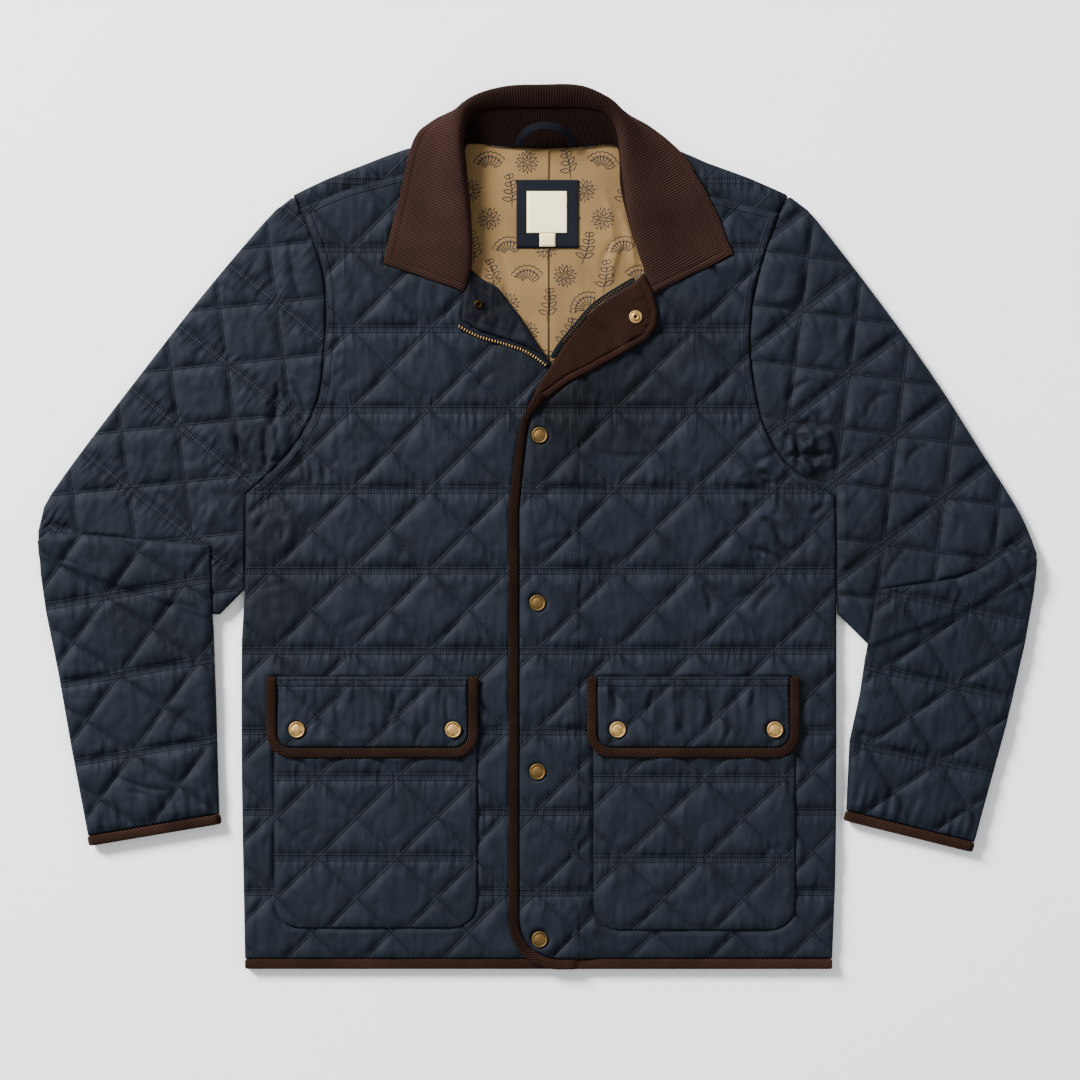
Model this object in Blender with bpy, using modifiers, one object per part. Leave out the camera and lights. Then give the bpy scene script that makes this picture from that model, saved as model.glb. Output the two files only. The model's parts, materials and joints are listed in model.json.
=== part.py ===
"""Quilted jacket with a corduroy collar, laid flat on its back.

All sizes are in millimetres, and MM turns them to metres. X runs across the jacket, Y up towards
the collar and Z away from the surface that it lies on. Right and left are the wearer's, so the
right side lies at -X. The origin is the middle of the whole jacket, on that surface.
"""

import math

import bmesh
import bpy
import numpy as np
from mathutils import Vector
from mathutils.geometry import delaunay_2d_cdt

MM = 0.001
GAP = 0.3  # between two pieces that meet at a seam or lie on each other
SLIVER = 0.002  # a triangle whose middle is this near the outline is left out

# Quilting: double rows of stitches across, and single diagonals through their crossings
ROW_PAIR = 5.2  # between the two rows of a double row
QUARTERS = 4  # lattice steps in a repeat, which is the distance from row to row
STITCH_REACH = 11.0  # how far from a stitch the padding is still held down

# Thickness of the cloth walls
WALL = 2.2  # shell, padding and lining, pressed together at a stitch or seam
PUFF = 3.0  # what the padding adds between stitches
CORD_WALL = 2.6  # corduroy, two layers
STAND_WALL = 2.2
PLAIN_WALL = 1.0  # lining cloth
PATCH_WALL = 0.9
LABEL_WALL = 0.7
TAB_WALL = 0.6
FACING_RIGHT_WALL, FACING_RIGHT_PUFF = 2.6, 1.8  # the turned-back corners
FACING_LEFT_WALL, FACING_LEFT_PUFF = 2.8, 1.6
FOREARM_EXTRA = 0.6  # a forearm is a little fuller than the body
EDGE = 8.0  # width of the rounded margin of a padded panel
FOOT = 1.4  # how far the edge of the lowest layer curls off the surface

# Levels of the layers, from the surface up
BACK_TOP = 5.3
NECK_TOP = 4.0
SHOULDER_TOP = 9.4
FRONT_LOW = BACK_TOP + GAP
OVERLAP_LOW = 8.8
POCKET_SEAT = 8.0
POCKET_LOW = POCKET_SEAT + GAP
POCKET_PUFF = 2.2
FLAP_SEAT = 10.6
FLAP_LOW = FLAP_SEAT + GAP
FLAP_PUFF = 2.0
CORNER_SEAT = 8.2
CORNER_LOW = CORNER_SEAT + GAP
CORNER_LEFT_SEAT = CORNER_SEAT + OVERLAP_LOW - FRONT_LOW
CORNER_LEFT_LOW = CORNER_LEFT_SEAT + GAP
LEAF_SEAT = 8.4
FOREARM_SEAT = 8.0
FOREARM_LOW = FOREARM_SEAT + GAP

SEAM_GAP = 0.8  # between a sleeve and the body, along X
LAP_GAP = 4.0  # between the two stretches of a sleeve's under layer, inside the fold

# Trim
BINDING = 9.6
BINDING_THICK = 4.0
UNDERLAP_BINDING_THICK = 2.9
FLAP_BINDING_THICK = 4.2
CUFF_BINDING_THICK = 4.6
CAP_ACROSS = 15.2
CAP_TALL = 3.4
CAP_DISH = 0.5
STUD_ACROSS, STUD_TALL, STUD_DISH = 12.4, 2.2, 0.6
SOCKET_ACROSS, SOCKET_TALL, SOCKET_DISH = 9.0, 1.6, 0.7
ZIP_ACROSS = 5.0
ZIP_TALL = 1.6
LOOP_TAPE = 5.6
LOOP_THICK = 1.2
RAMP = 3.0  # how fast a surface comes down to a level place in it

# Outlines. Each row is a point: x, y
ARMHOLE_RIGHT = (
    (-232, 314), (-222, 296), (-213, 274), (-204, 246), (-201, 220), (-201, 190),
    (-203, 160), (-208, 123), (-225, 87), (-249, 58), (-277, 32),
)
ARMHOLE_LEFT = (
    (238, 314), (229, 298), (222, 280), (213, 252), (205, 222), (202, 190),
    (202, 165), (206, 133), (216, 94), (237, 60), (262, 42), (283, 30),
)
SHOULDER_RIGHT = ((-69, 366), (-100, 365), (-128, 359), (-165, 345), (-201, 331), (-232, 316))
SHOULDER_LEFT = ((79, 366), (107, 364), (133, 359), (161, 347), (202, 332), (238, 316))
SEAM_RIGHT = ((-76, 350), (-102, 344), (-130, 336), (-184, 321), (-226, 303))
SEAM_LEFT = ((86, 340), (116, 329), (167, 315), (229, 299))
SIDE_RIGHT = ((-277, 32), (-278, -60), (-281, -106), (-281, -240), (-279, -353), (-278, -409.2))
SIDE_LEFT = ((283, 30), (284, -60), (284, -220), (283, -334), (280, -409.2))
NECK_BACK = ((-69, 366), (-36, 361), (5, 360), (48, 361), (79, 366))
NECK_RIGHT = ((-76, 350), (-71, 310), (-68, 270), (-64, 247))
FOLD_RIGHT = ((-64, 247), (-55, 238), (-38, 229), (-27, 214), (-17, 202), (-5, 183), (12, 157))
NECK_LEFT = ((14, 156), (23, 172), (36, 188), (56, 210), (92, 234), (102, 243), (92, 280), (86, 340))
HEM = -409.2
FRONT_EDGE = -17.5  # the left front's edge under its binding
UNDERLAP_EDGE = 27.0  # the right front's hidden edge
PLACKET_STEP = 33.0  # where the left front comes down off the right front
HEM_CURVE = 38.0  # radius of the left front's lower corner

LINING = (
    (-66, 362), (-36, 357.5), (5, 356.5), (48, 357.5), (76, 362), (94, 300), (110, 238),
    (70, 190), (34, 150), (10, 132), (-16, 150), (-60, 205), (-76, 250), (-72, 310),
)
CORNER_RIGHT = (
    (-64, 246), (-55, 237), (-38, 228), (-27, 213), (-17, 201), (-5, 182), (12, 157),
    (1, 166), (-12, 173.5), (-31, 180), (-54, 187), (-72, 197), (-70, 224),
)
CORNER_LEFT = (
    (101, 242), (110, 222), (114, 205), (113, 192), (105, 179), (82, 166), (53, 150), (31, 139),
    (17, 129), (6, 121), (-3, 110), (-12, 109), (-6, 121), (3, 139), (15, 157), (24, 172),
    (37, 188), (57, 210), (93, 233),
)
ZIP_RIGHT = ((-76, 193.5), (-56, 183), (-32, 176), (-13, 169.5), (-1, 162.5), (7, 156))
ZIP_LEFT = ((91.8, 235.7), (55.4, 212.7), (34.9, 190), (21.7, 173.9), (13.8, 160.9))

SLEEVE_RIGHT_TOP = (
    (-234, 314), (-249, 302), (-281, 266), (-329, 208), (-378, 145), (-424, 85), (-454, 44),
    (-469, 20), (-474.5, -3),
)
SLEEVE_RIGHT_END = ((-474.5, -14), (-397, -44), (-310, -82), (-302, -82), (-278.5, -58))
SLEEVE_LEFT_TOP = (
    (241, 314), (257, 302), (290, 261), (337, 199), (382, 135), (424, 69), (451, 27), (464, 3),
    (474.5, -24),
)
SLEEVE_LEFT_END = ((474.5, -36), (401, -70), (314, -110), (286, -82))
FOREARM_RIGHT = (
    (-474.5, -12), (-465, -3), (-383, -10), (-311, -16), (-308.5, -92), (-306, -162),
    (-303, -271.5), (-427, -292.5), (-443, -208), (-455, -139), (-467, -80), (-472, -45),
)
FOREARM_LEFT = (
    (474.5, -30), (466, -19), (447, -22), (418, -40), (397, -48), (322, -59), (315, -102),
    (307, -157), (297, -203), (294, -268.5), (415, -298.5), (445, -189), (463, -111), (472, -60),
)

# Quilting of each panel: x and y of a crossing, turn in degrees, repeat across and along
QUILTS = {
    "front_right": (-177, 36, 0, 74.4, 76.4),
    "front_left": (74, 36, 0, 75.4, 76.4),
    "pocket_right": (-133, -313, 0, 76, 76.4),
    "pocket_left": (82, -238, 0, 76, 76.4),
    "flap_right": (-171, -217.5, 0, 76, 76.4),
    "flap_left": (134, -216, 0, 76, 76.4),
    "sleeve_right": (-295, 156, -38.5, 77, 75),
    "sleeve_left": (296, 147, 37.5, 73, 74.5),
    "forearm_right": (-397, -139.5, 9.5, 76, 75.5),
    "forearm_left": (397, -150, -12, 71.5, 74),
}

# Pockets: x of the sides, top and bottom, and of the flap that covers the top
POCKETS = {
    "right": {"bag": (-250, -57, -143, -380), "flap": (-257, -56, -141, -218)},
    "left": {"bag": (53, 245, -143, -382), "flap": (47, 249, -141, -218)},
}
BAG_CORNER = 25.0
FLAP_CORNER = 23.0

FRONT_SNAPS = ((2, 88), (0, -71), (0, -231), (2, -390))
POCKET_SNAPS = {"right": ((-228, -191), (-80, -191)), "left": ((76, -191), (225, -191))}
SOCKET_AT = (-56, 212)
STUD_AT = (93, 200)

PATCH = (-20, 39, 266, 331)
LABEL = (-10, 28, 280.5, 320)
TAB = (2, 17, 267.5, 280)

# Collar, section by section from the right point round the back to the left point. From the top of
# the stand the wall rises, rolls over and falls to its outer edge, on a curve with two handles:
# x and y of the start, direction outwards in degrees, height of the start, reach and height of
# the first handle, of the second handle, and of the outer edge
COLLAR = (
    (-71, 225, 161, 10.6, 8, 12.6, 40, 11.0, 80, 10.2),
    (-64, 246, 161, 13.4, 3, 20.0, 40, 12.0, 82, 10.2),
    (-63, 274, 161, 17.0, 2, 28.0, 30, 12.5, 76, 10.2),
    (-66, 308, 163, 19.0, 2, 33.0, 26, 13.0, 64, 10.2),
    (-70, 344, 168, 20.0, 3, 36.0, 22, 14.0, 52, 11.4),
    (-71, 370, 174, 21.0, 4, 38.0, 20, 15.0, 42, 11.4),
    (-67, 386, 178, 21.0, 8, 39.0, 22, 12.0, 31, 7.0),
    (-60, 394, 140, 21.0, 16, 39.0, 18, 4.0, -6, 2.0),
    (-46, 398, 110, 20.5, 22, 38.0, 22, 1.5, -24, 1.5),
    (-22, 399, 95, 20.0, 28, 37.0, 28, 1.5, -28, 1.5),
    (9, 399, 90, 20.0, 29.5, 37.0, 29.5, 1.5, -28, 1.5),
    (38, 399, 85, 20.0, 28, 37.0, 28, 1.5, -28, 1.5),
    (57, 396, 66, 20.5, 21, 38.0, 21, 1.5, -24, 1.5),
    (68, 391, 36, 21.0, 15, 39.0, 17, 4.0, -6, 2.0),
    (74, 382, 2, 21.0, 8, 39.0, 22, 12.0, 29, 7.0),
    (78, 366, 1, 21.0, 4, 38.0, 20, 15.0, 46, 11.4),
    (80, 345, 4, 20.0, 3, 36.0, 24, 14.0, 61, 11.4),
    (85, 308, 8, 19.0, 2, 33.0, 30, 14.0, 76, 11.8),
    (93, 272, 14, 17.0, 2, 28.0, 36, 12.5, 83, 10.2),
    (102, 246, 17, 13.4, 3, 20.0, 42, 12.0, 83, 10.2),
    (111, 223, 26, 10.6, 8, 12.6, 42, 11.0, 84, 10.2),
)
LEAF_RIGHT = slice(0, 6)  # the sections that lie on the right front
LEAF_LEFT = slice(15, 21)
# Collar stand, section by section: x and y of its foot on the neck seam, x and y of its top,
# height of the foot and of the top
STAND = (
    (-64, 252, -64, 253, 9.2, 12.0),
    (-63, 276, -64, 277, 9.0, 15.5),
    (-65, 310, -66, 310, 9.0, 17.6),
    (-66, 340, -69, 344, 9.0, 18.6),
    (-60, 357, -71, 372, 8.0, 19.4),
    (-50, 358, -63, 391, 7.2, 19.4),
    (-30, 357, -40, 397.5, 7.2, 18.8),
    (6, 356, 8, 398.5, 7.2, 18.2),
    (44, 357, 50, 397, 7.2, 18.8),
    (62, 358, 69, 389, 7.2, 19.4),
    (72, 352, 77, 368, 8.0, 19.4),
    (79, 325, 80, 330, 9.0, 18.6),
    (85, 300, 86, 302, 9.0, 17.4),
    (93, 270, 93, 271, 9.0, 15.0),
)
LOOP = (
    (-19, 363, 12), (-15, 374, 18.5), (-5, 383, 24.5), (8.5, 386.5, 26), (22, 383, 24.5),
    (32, 374, 18.5), (36, 363, 12),
)

COLOURS = {
    "shell": (0.022, 0.032, 0.050),
    "corduroy": (0.055, 0.022, 0.014),
    "lining": (0.42, 0.27, 0.15),
    "brass": (0.60, 0.40, 0.18),
    "patch": (0.012, 0.018, 0.035),
    "label": (0.80, 0.77, 0.68),
}


def material(slot):
    """The plain material of a slot, made the first time that it is asked for."""
    made = bpy.data.materials.get(slot)
    if made is None:
        made = bpy.data.materials.new(slot)
        made.use_nodes = True
        shader = made.node_tree.nodes["Principled BSDF"]
        shader.inputs["Base Color"].default_value = (*COLOURS[slot], 1)
        shader.inputs["Roughness"].default_value = 0.35 if slot == "brass" else 0.8
        shader.inputs["Metallic"].default_value = 1.0 if slot == "brass" else 0.0
    return made


def keep(name, slot, bm):
    """Turns a mesh in millimetres into a named object of the jacket."""
    bmesh.ops.scale(bm, vec=(MM, MM, MM), verts=bm.verts)
    mesh = bpy.data.meshes.new(name)
    bm.to_mesh(mesh)
    bm.free()
    made = bpy.data.objects.new(name, mesh)
    made.data.materials.append(material(slot))
    JACKET.objects.link(made)
    return made


# Outlines and distances


def smooth(points, pitch=16.0):
    """Points along a soft curve through the given ones."""
    knots = [Vector(p) for p in (points[0], *points, points[-1])]
    curve = []
    for before, start, end, after in zip(knots, knots[1:], knots[2:], knots[3:]):
        count = max(1, round((end - start).length / pitch))
        for step in range(count):
            t = step / count
            pull = (end - before) * (t - 2 * t**2 + t**3) / 2 + (after - start) * (t**3 - t**2) / 2
            curve.append(tuple(start * (1 - 3 * t**2 + 2 * t**3) + end * (3 * t**2 - 2 * t**3) + pull))
    return curve + [tuple(points[-1])]


def arc(x, y, radius, start, end, count=5):
    """Points on an arc, from one angle in degrees to another."""
    turns = (math.radians(start + (end - start) * i / count) for i in range(count + 1))
    return [(x + radius * math.cos(turn), y + radius * math.sin(turn)) for turn in turns]


def chain(*stretches):
    """One closed outline from stretches that follow each other, each shared end kept once."""
    ring = []
    for point in (tuple(point) for stretch in stretches for point in stretch):
        if not ring or math.dist(point, ring[-1]) > 1:
            ring.append(point)
    return ring[:-1] if math.dist(ring[0], ring[-1]) < 1 else ring


def sampled(ring, pitch=20.0):
    """A closed outline with points no further apart than the pitch."""
    points = []
    for start, end in zip(ring, ring[1:] + ring[:1]):
        count = math.ceil(math.dist(start, end) / pitch)
        points += [tuple(np.array(start) + (np.array(end) - start) * i / count) for i in range(count)]
    return points


def wider(ring, distance):
    """A closed outline moved outwards, or inwards by a negative distance."""
    points = np.array(ring, float)
    ahead = np.roll(points, -1, axis=0) - points
    normals = np.stack([ahead[:, 1], -ahead[:, 0]], axis=1)
    normals /= np.linalg.norm(normals, axis=1)[:, None]
    area = np.sum(points[:, 0] * np.roll(points[:, 1], -1) - points[:, 1] * np.roll(points[:, 0], -1))
    mean = normals + np.roll(normals, 1, axis=0)
    mean /= np.maximum(np.sum(mean**2, axis=1), 0.8)[:, None] / 2
    return [tuple(p) for p in points + mean * distance * (1 if area > 0 else -1)]


def outside(points, ring):
    """Distance of each point from a closed outline, negative for a point inside it."""
    points = np.asarray(points, float)[:, None, :]
    start = np.array(ring, float)[None]
    end = np.roll(start, -1, axis=1)
    run = end - start
    along = np.clip(np.sum((points - start) * run, axis=2) / np.sum(run**2, axis=2), 0, 1)
    near = np.min(np.linalg.norm(points - start - along[..., None] * run, axis=2), axis=1)
    crosses = (start[..., 1] > points[..., 1]) != (end[..., 1] > points[..., 1])
    rise = np.where(run[..., 1] == 0, 1, run[..., 1])
    reach = start[..., 0] + (points[..., 1] - start[..., 1]) * run[..., 0] / rise
    inside = np.sum(crosses & (points[..., 0] < reach), axis=1) % 2 == 1
    return np.where(inside, -near, near)


def inset(ring, depth):
    """The margin line of an outline, without the points that sharp corners throw back to the edge."""
    line = np.array(wider(ring, -depth))
    return [tuple(point) for point in line[outside(line, ring) < -0.8 * depth]]


class Terrace:
    """A level place in a surface, inside a ring, with a ramp round it back to the surface."""

    def __init__(self, ring, level, ramp=RAMP):
        self.ring, self.level, self.ramp = sampled(list(ring)), level, ramp
        self.rings = (self.ring, wider(self.ring, ramp))

    def cut(self, points, z):
        share = np.clip(outside(points, self.ring) / self.ramp, 0, 1)
        return self.level * (1 - share) + z * share


class Quilt:
    """The stitch pattern of a panel, and how high its padding stands between the stitches."""

    def __init__(self, x, y, turn, across, along):
        self.corner, self.turn = np.array((x, y), float), math.radians(turn)
        self.step = np.array((across, along)) / QUARTERS

    def axes(self):
        c, s = math.cos(self.turn), math.sin(self.turn)
        return np.array(((c, s), (-s, c)))

    def height(self, points):
        """From 0 on a stitch to almost 1 in the middle of a puff."""
        u, v = ((np.asarray(points) - self.corner) @ self.axes().T / self.step).T
        mean = self.step.mean()
        row = np.abs(v - QUARTERS * np.round(v / QUARTERS)) * self.step[1] - ROW_PAIR / 2
        gaps = [np.abs(row)]
        for slant in (u - v, u + v):
            gaps.append(np.abs(slant - QUARTERS * np.round(slant / QUARTERS)) * mean / math.sqrt(2))
        raised = np.prod([1 - np.exp(-gap / STITCH_REACH) for gap in gaps], axis=0) * 1.6
        return np.where(row <= 0.01, 0, np.minimum(raised, 1))

    def lattice(self, ring, clear, holes):
        """Points of the pattern inside an outline, and the stitch lines between them."""
        size = int(max(np.ptp(ring, axis=0)) / min(self.step)) + 2
        middle = (np.mean(ring, axis=0) - self.corner) @ self.axes().T / self.step
        names, flat = [], []
        for j in range(int(middle[1]) - size, int(middle[1]) + size):
            for i in range(int(middle[0]) - size, int(middle[0]) + size):
                sides = (-1, 1) if j % QUARTERS == 0 else (0,)
                for side in sides:
                    names.append((i, j, side))
                    flat.append((i * self.step[0], j * self.step[1] + side * ROW_PAIR / 2))
        places = np.array(flat) @ self.axes() + self.corner
        kept = outside(places, ring) < -clear
        for hole in holes:
            kept &= outside(places, hole.ring) > hole.ramp + 4
        index = {name: place for name, place, keep_it in zip(names, places, kept) if keep_it}
        number = {name: n for n, name in enumerate(index)}
        stitches = []
        for i, j, side in index:
            ends = [(i + 1, j, side)] if side else []
            if side >= 0 and (i - j) % QUARTERS == 0:
                ends += [(i + 1, j + 1, 0), (i + 1, j + 1, -1)]
            if side >= 0 and (i + j) % QUARTERS == 0:
                ends += [(i - 1, j + 1, 0), (i - 1, j + 1, -1)]
            stitches += [(number[i, j, side], number[end]) for end in ends if end in number]
        return list(index.values()), stitches


# Solids


def triangulated(rings, extra=(), lines=()):
    """Fills an outline with triangles that keep every ring, extra point and line."""
    points, edges = [], []
    for loop in rings:
        first = len(points)
        points += loop
        edges += [(first + i, first + (i + 1) % len(loop)) for i in range(len(loop))]
    first = len(points)
    points += extra
    edges += [(first + a, first + b) for a, b in lines]
    flat = [Vector((round(p[0], 4), round(p[1], 4))) for p in points]
    made, _, faces, *_ = delaunay_2d_cdt(flat, edges, [], 0, 1e-4)
    made = np.array([tuple(p) for p in made])
    faces = np.array(faces)
    middles = made[faces].mean(axis=1)
    return made, faces[outside(middles, rings[0]) < -SLIVER]


def border(faces):
    """The outer edges of a triangulated outline."""
    seen = {}
    for face in faces:
        for a, b in zip(face, (*face[1:], face[0])):
            seen[(min(a, b), max(a, b))] = None if (min(a, b), max(a, b)) in seen else (a, b)
    return [edge for edge in seen.values() if edge]


def wall(name, slot, top, top_z, foot, foot_z):
    """A closed solid between an upper and a lower surface that share one outline."""
    bm = bmesh.new()
    sheets = []
    for (points, faces), heights, turned in ((top, top_z, False), (foot, foot_z, True)):
        verts = [bm.verts.new((x, y, z)) for (x, y), z in zip(points, heights)]
        for face in faces:
            corners = [verts[i] for i in face]
            bm.faces.new(reversed(corners) if turned else corners)
        sheets.append(verts)
    rim = {i for edge in border(top[1]) for i in edge}
    below = {i: int(np.argmin(np.linalg.norm(foot[0] - top[0][i], axis=1))) for i in rim}
    for a, b in border(top[1]):
        bm.faces.new([sheets[0][b], sheets[0][a], sheets[1][below[a]], sheets[1][below[b]]])
    bmesh.ops.recalc_face_normals(bm, faces=bm.faces)
    return keep(name, slot, bm)


def panel(name, slot, outline, low, thick=WALL, puff=0.0, quilt=None, steps=(), seats=(), curled=False):
    """A cloth panel: a plain underside on steps, and padding raised between stitches above it."""
    ring = sampled(list(outline))
    seats = [Terrace(*seat) for seat in seats]
    steps = [Terrace(*step) for step in steps]
    stepped = [loop for step in steps for loop in step.rings]
    seated = [loop for seat in seats for loop in seat.rings]
    extra, lines = quilt.lattice(ring, EDGE + 6, seats + steps) if quilt else ([], [])
    margin = [inset(ring, EDGE)] if puff else []
    top = triangulated([ring, *margin, *stepped, *seated], extra, lines)
    edge = border(top[1])
    order = {a: b for a, b in edge}
    start = edge[0][0]
    loop, here = [start], order[start]
    while here != start:
        loop.append(here)
        here = order[here]
    rim = [tuple(top[0][i]) for i in loop]
    foot = triangulated([rim, *([inset(rim, 4)] if curled else []), *stepped])

    def lower(points):
        z = np.full(len(points), float(low))
        for step in steps:
            z = step.cut(points, z)
        if curled:
            z = z + FOOT * np.clip(1 + outside(points, ring) / 4, 0, 1)
        return z

    base = np.full(len(top[0]), float(low))
    for step in steps:
        base = step.cut(top[0], base)
    depth = -outside(top[0], ring)
    raised = quilt.height(top[0]) if quilt else 1
    top_z = base + thick + puff * raised * np.clip(depth / EDGE, 0, 1)
    for seat in seats:
        top_z = seat.cut(top[0], top_z)
    return wall(name, slot, top, top_z, foot, lower(foot[0]))


def loft(name, slot, sections, thick):
    """A cloth wall through sections of centre points, thickened evenly."""
    bm = bmesh.new()
    rows = [[bm.verts.new(point) for point in section] for section in sections]
    for row, following in zip(rows, rows[1:]):
        for i in range(len(row) - 1):
            bm.faces.new((row[i], row[i + 1], following[i + 1], following[i]))
    made = keep(name, slot, bm)
    solid = made.modifiers.new("wall", "SOLIDIFY")
    solid.thickness = thick * MM
    solid.offset = 0
    solid.use_even_offset = True
    return made


def bar(name, slot, path, across, side=None, closed=False):
    """A rounded strip along a path of (x, y, z, thickness), flat unless a side direction is given."""
    spots = [Vector(point[:3]) for point in path]
    count = len(spots)
    profile = [(0.5, 0.0), (0.42, 0.36), (0.25, 0.5), (-0.25, 0.5), (-0.42, 0.36)]
    profile += [(-0.5, 0.0), (-0.42, -0.36), (-0.25, -0.5), (0.25, -0.5), (0.42, -0.36)]
    bm = bmesh.new()
    rings = []
    for i, spot in enumerate(spots):
        ahead = spots[(i + 1) % count] if closed else spots[min(i + 1, count - 1)]
        behind = spots[i - 1] if closed or i else spots[0]
        run = (ahead - behind).normalized()
        wide = Vector(side).normalized() if side else Vector((run.y, -run.x, 0)).normalized()
        tall = wide.cross(run).normalized()
        ring = [spot + wide * across * a + tall * path[i][3] * b for a, b in profile]
        rings.append([bm.verts.new(point) for point in ring])
    for ring, following in zip(rings, rings[1:] + (rings[:1] if closed else [])):
        for i in range(len(profile)):
            j = (i + 1) % len(profile)
            bm.faces.new((ring[i], ring[j], following[j], following[i]))
    if not closed:
        bm.faces.new(rings[0])
        bm.faces.new(reversed(rings[-1]))
    bmesh.ops.recalc_face_normals(bm, faces=bm.faces)
    return keep(name, slot, bm)


def turned(name, slot, profile, x, y, z, count=14):
    """A round piece from a profile of (radius, height) that runs down its outer side."""
    mesh = bpy.data.meshes.new(name)
    points = [(radius * MM, 0, height * MM) for radius, height in profile]
    mesh.from_pydata(points, [(i, i + 1) for i in range(len(points) - 1)], [])
    made = bpy.data.objects.new(name, mesh)
    made.data.materials.append(material(slot))
    made.location = (x * MM, y * MM, z * MM)
    JACKET.objects.link(made)
    screw = made.modifiers.new("turn", "SCREW")
    screw.steps = screw.render_steps = count
    screw.use_merge_vertices = True
    screw.merge_threshold = 0.00001
    return made


def disc(across, tall, dish=0.0, rim=0.5):
    """Profile of a round cap with a rounded rim, which may be dished or domed in the middle."""
    radius = across / 2
    return (
        (0, tall - dish), (radius * 0.62, tall - dish * 0.4), (radius * 0.86, tall), (radius, tall - rim),
        (radius, rim * 0.6), (radius - rim, 0), (0, 0),
    )


def rectangle(left, right, low, high):
    return [(left, low), (right, low), (right, high), (left, high)]


def bag(left, right, top, bottom, radius):
    """A pocket's outline: square at the top, rounded at the bottom."""
    return chain(
        [(left, top)],
        arc(left + radius, bottom + radius, radius, 180, 270),
        arc(right - radius, bottom + radius, radius, 270, 360),
        [(right, top)],
    )


def hollow(x, y, z, across=CAP_ACROSS):
    """A seat for a snap: a ring a little wider than the snap, and its level."""
    return arc(x, y, across / 2 + 1.2, 0, 330, 11), z


# Sub-parts


def quilt_of(name):
    return Quilt(*QUILTS[name])


def side_outline(side):
    """Shoulder seam, armhole and side of one front, from the neck down to the hem."""
    right = side == "right"
    seam, armhole = (SEAM_RIGHT, ARMHOLE_RIGHT) if right else (SEAM_LEFT, ARMHOLE_LEFT)
    side_seam = SIDE_RIGHT if right else SIDE_LEFT
    below_tip = [point for point in smooth(armhole) if point[1] < seam[-1][1] - 2]
    return chain(smooth(seam), below_tip, smooth(side_seam, 60))


def strip_seat(seam):
    """The part of the back that shows above a forward shoulder seam, as a raised ring."""
    line = [(x, y + 1.6) for x, y in smooth(seam)]
    return chain(line, [(x * 1.05, y + 30) for x, y in (seam[-1], seam[0])])


def make_back():
    outline = chain(
        smooth(NECK_BACK), smooth(SHOULDER_LEFT), smooth(ARMHOLE_LEFT), smooth(SIDE_LEFT, 60),
        reversed(smooth(SIDE_RIGHT, 60)), reversed(smooth(ARMHOLE_RIGHT)),
        reversed(smooth(SHOULDER_RIGHT)),
    )
    seats = [
        (wider(LINING, 1.6), NECK_TOP, 1.0),
        (strip_seat(SEAM_RIGHT), SHOULDER_TOP, 1.0),
        (strip_seat(SEAM_LEFT), SHOULDER_TOP, 1.0),
    ]
    panel("back_panel", "shell", outline, 0, BACK_TOP, seats=seats, curled=True)
    panel("lining_back", "lining", LINING, NECK_TOP + GAP, PLAIN_WALL)


def pocket_seat(side):
    return bag(*POCKETS[side]["bag"], BAG_CORNER), POCKET_SEAT


def leaf_seat(part):
    """Where a collar leaf lies on a front."""
    rows = COLLAR[part]
    outer = [collar_place(row, row[8], row[9])[:2] for row in rows]
    inner = [row[:2] for row in rows]
    return wider(chain(outer, reversed(inner)), 2), LEAF_SEAT


def make_fronts():
    outline = chain(
        side_outline("right"), [(UNDERLAP_EDGE, HEM), (UNDERLAP_EDGE, 142)],
        reversed(smooth(FOLD_RIGHT)), reversed(smooth(NECK_RIGHT)),
    )
    overlap = chain(
        [(-34, 112), (-19, 112), (14, 160), (60, 160), (60, HEM - 30), (-34, HEM - 30)]
    )
    seats = [
        pocket_seat("right"),
        (wider(CORNER_RIGHT, 5), CORNER_SEAT),
        leaf_seat(LEAF_RIGHT),
        (overlap, OVERLAP_LOW - GAP),
    ]
    panel("front_right", "shell", outline, FRONT_LOW, WALL, PUFF, quilt_of("front_right"), (), seats)

    corner = arc(FRONT_EDGE + HEM_CURVE, HEM + HEM_CURVE, HEM_CURVE, 270, 180)
    front_edge = [(FRONT_EDGE, 20), (-14.6, 47), (-9.6, 88), (-7, 100), (-7, 114)]
    outline = chain(
        side_outline("left"), corner, front_edge, smooth(((-6, 121), (3, 139), (14, 156))),
        smooth(NECK_LEFT),
    )
    overlap = chain([(-60, 200), (PLACKET_STEP, 200), (PLACKET_STEP, HEM - 30), (-60, HEM - 30)])
    seats = [
        pocket_seat("left"),
        (wider(CORNER_LEFT, 2), CORNER_LEFT_SEAT),
        leaf_seat(LEAF_LEFT),
        *(hollow(x, y, OVERLAP_LOW + WALL) for x, y in FRONT_SNAPS),
    ]
    panel(
        "front_left", "shell", outline, FRONT_LOW, WALL, PUFF, quilt_of("front_left"),
        [(overlap, OVERLAP_LOW, 4.0)], seats,
    )


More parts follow.
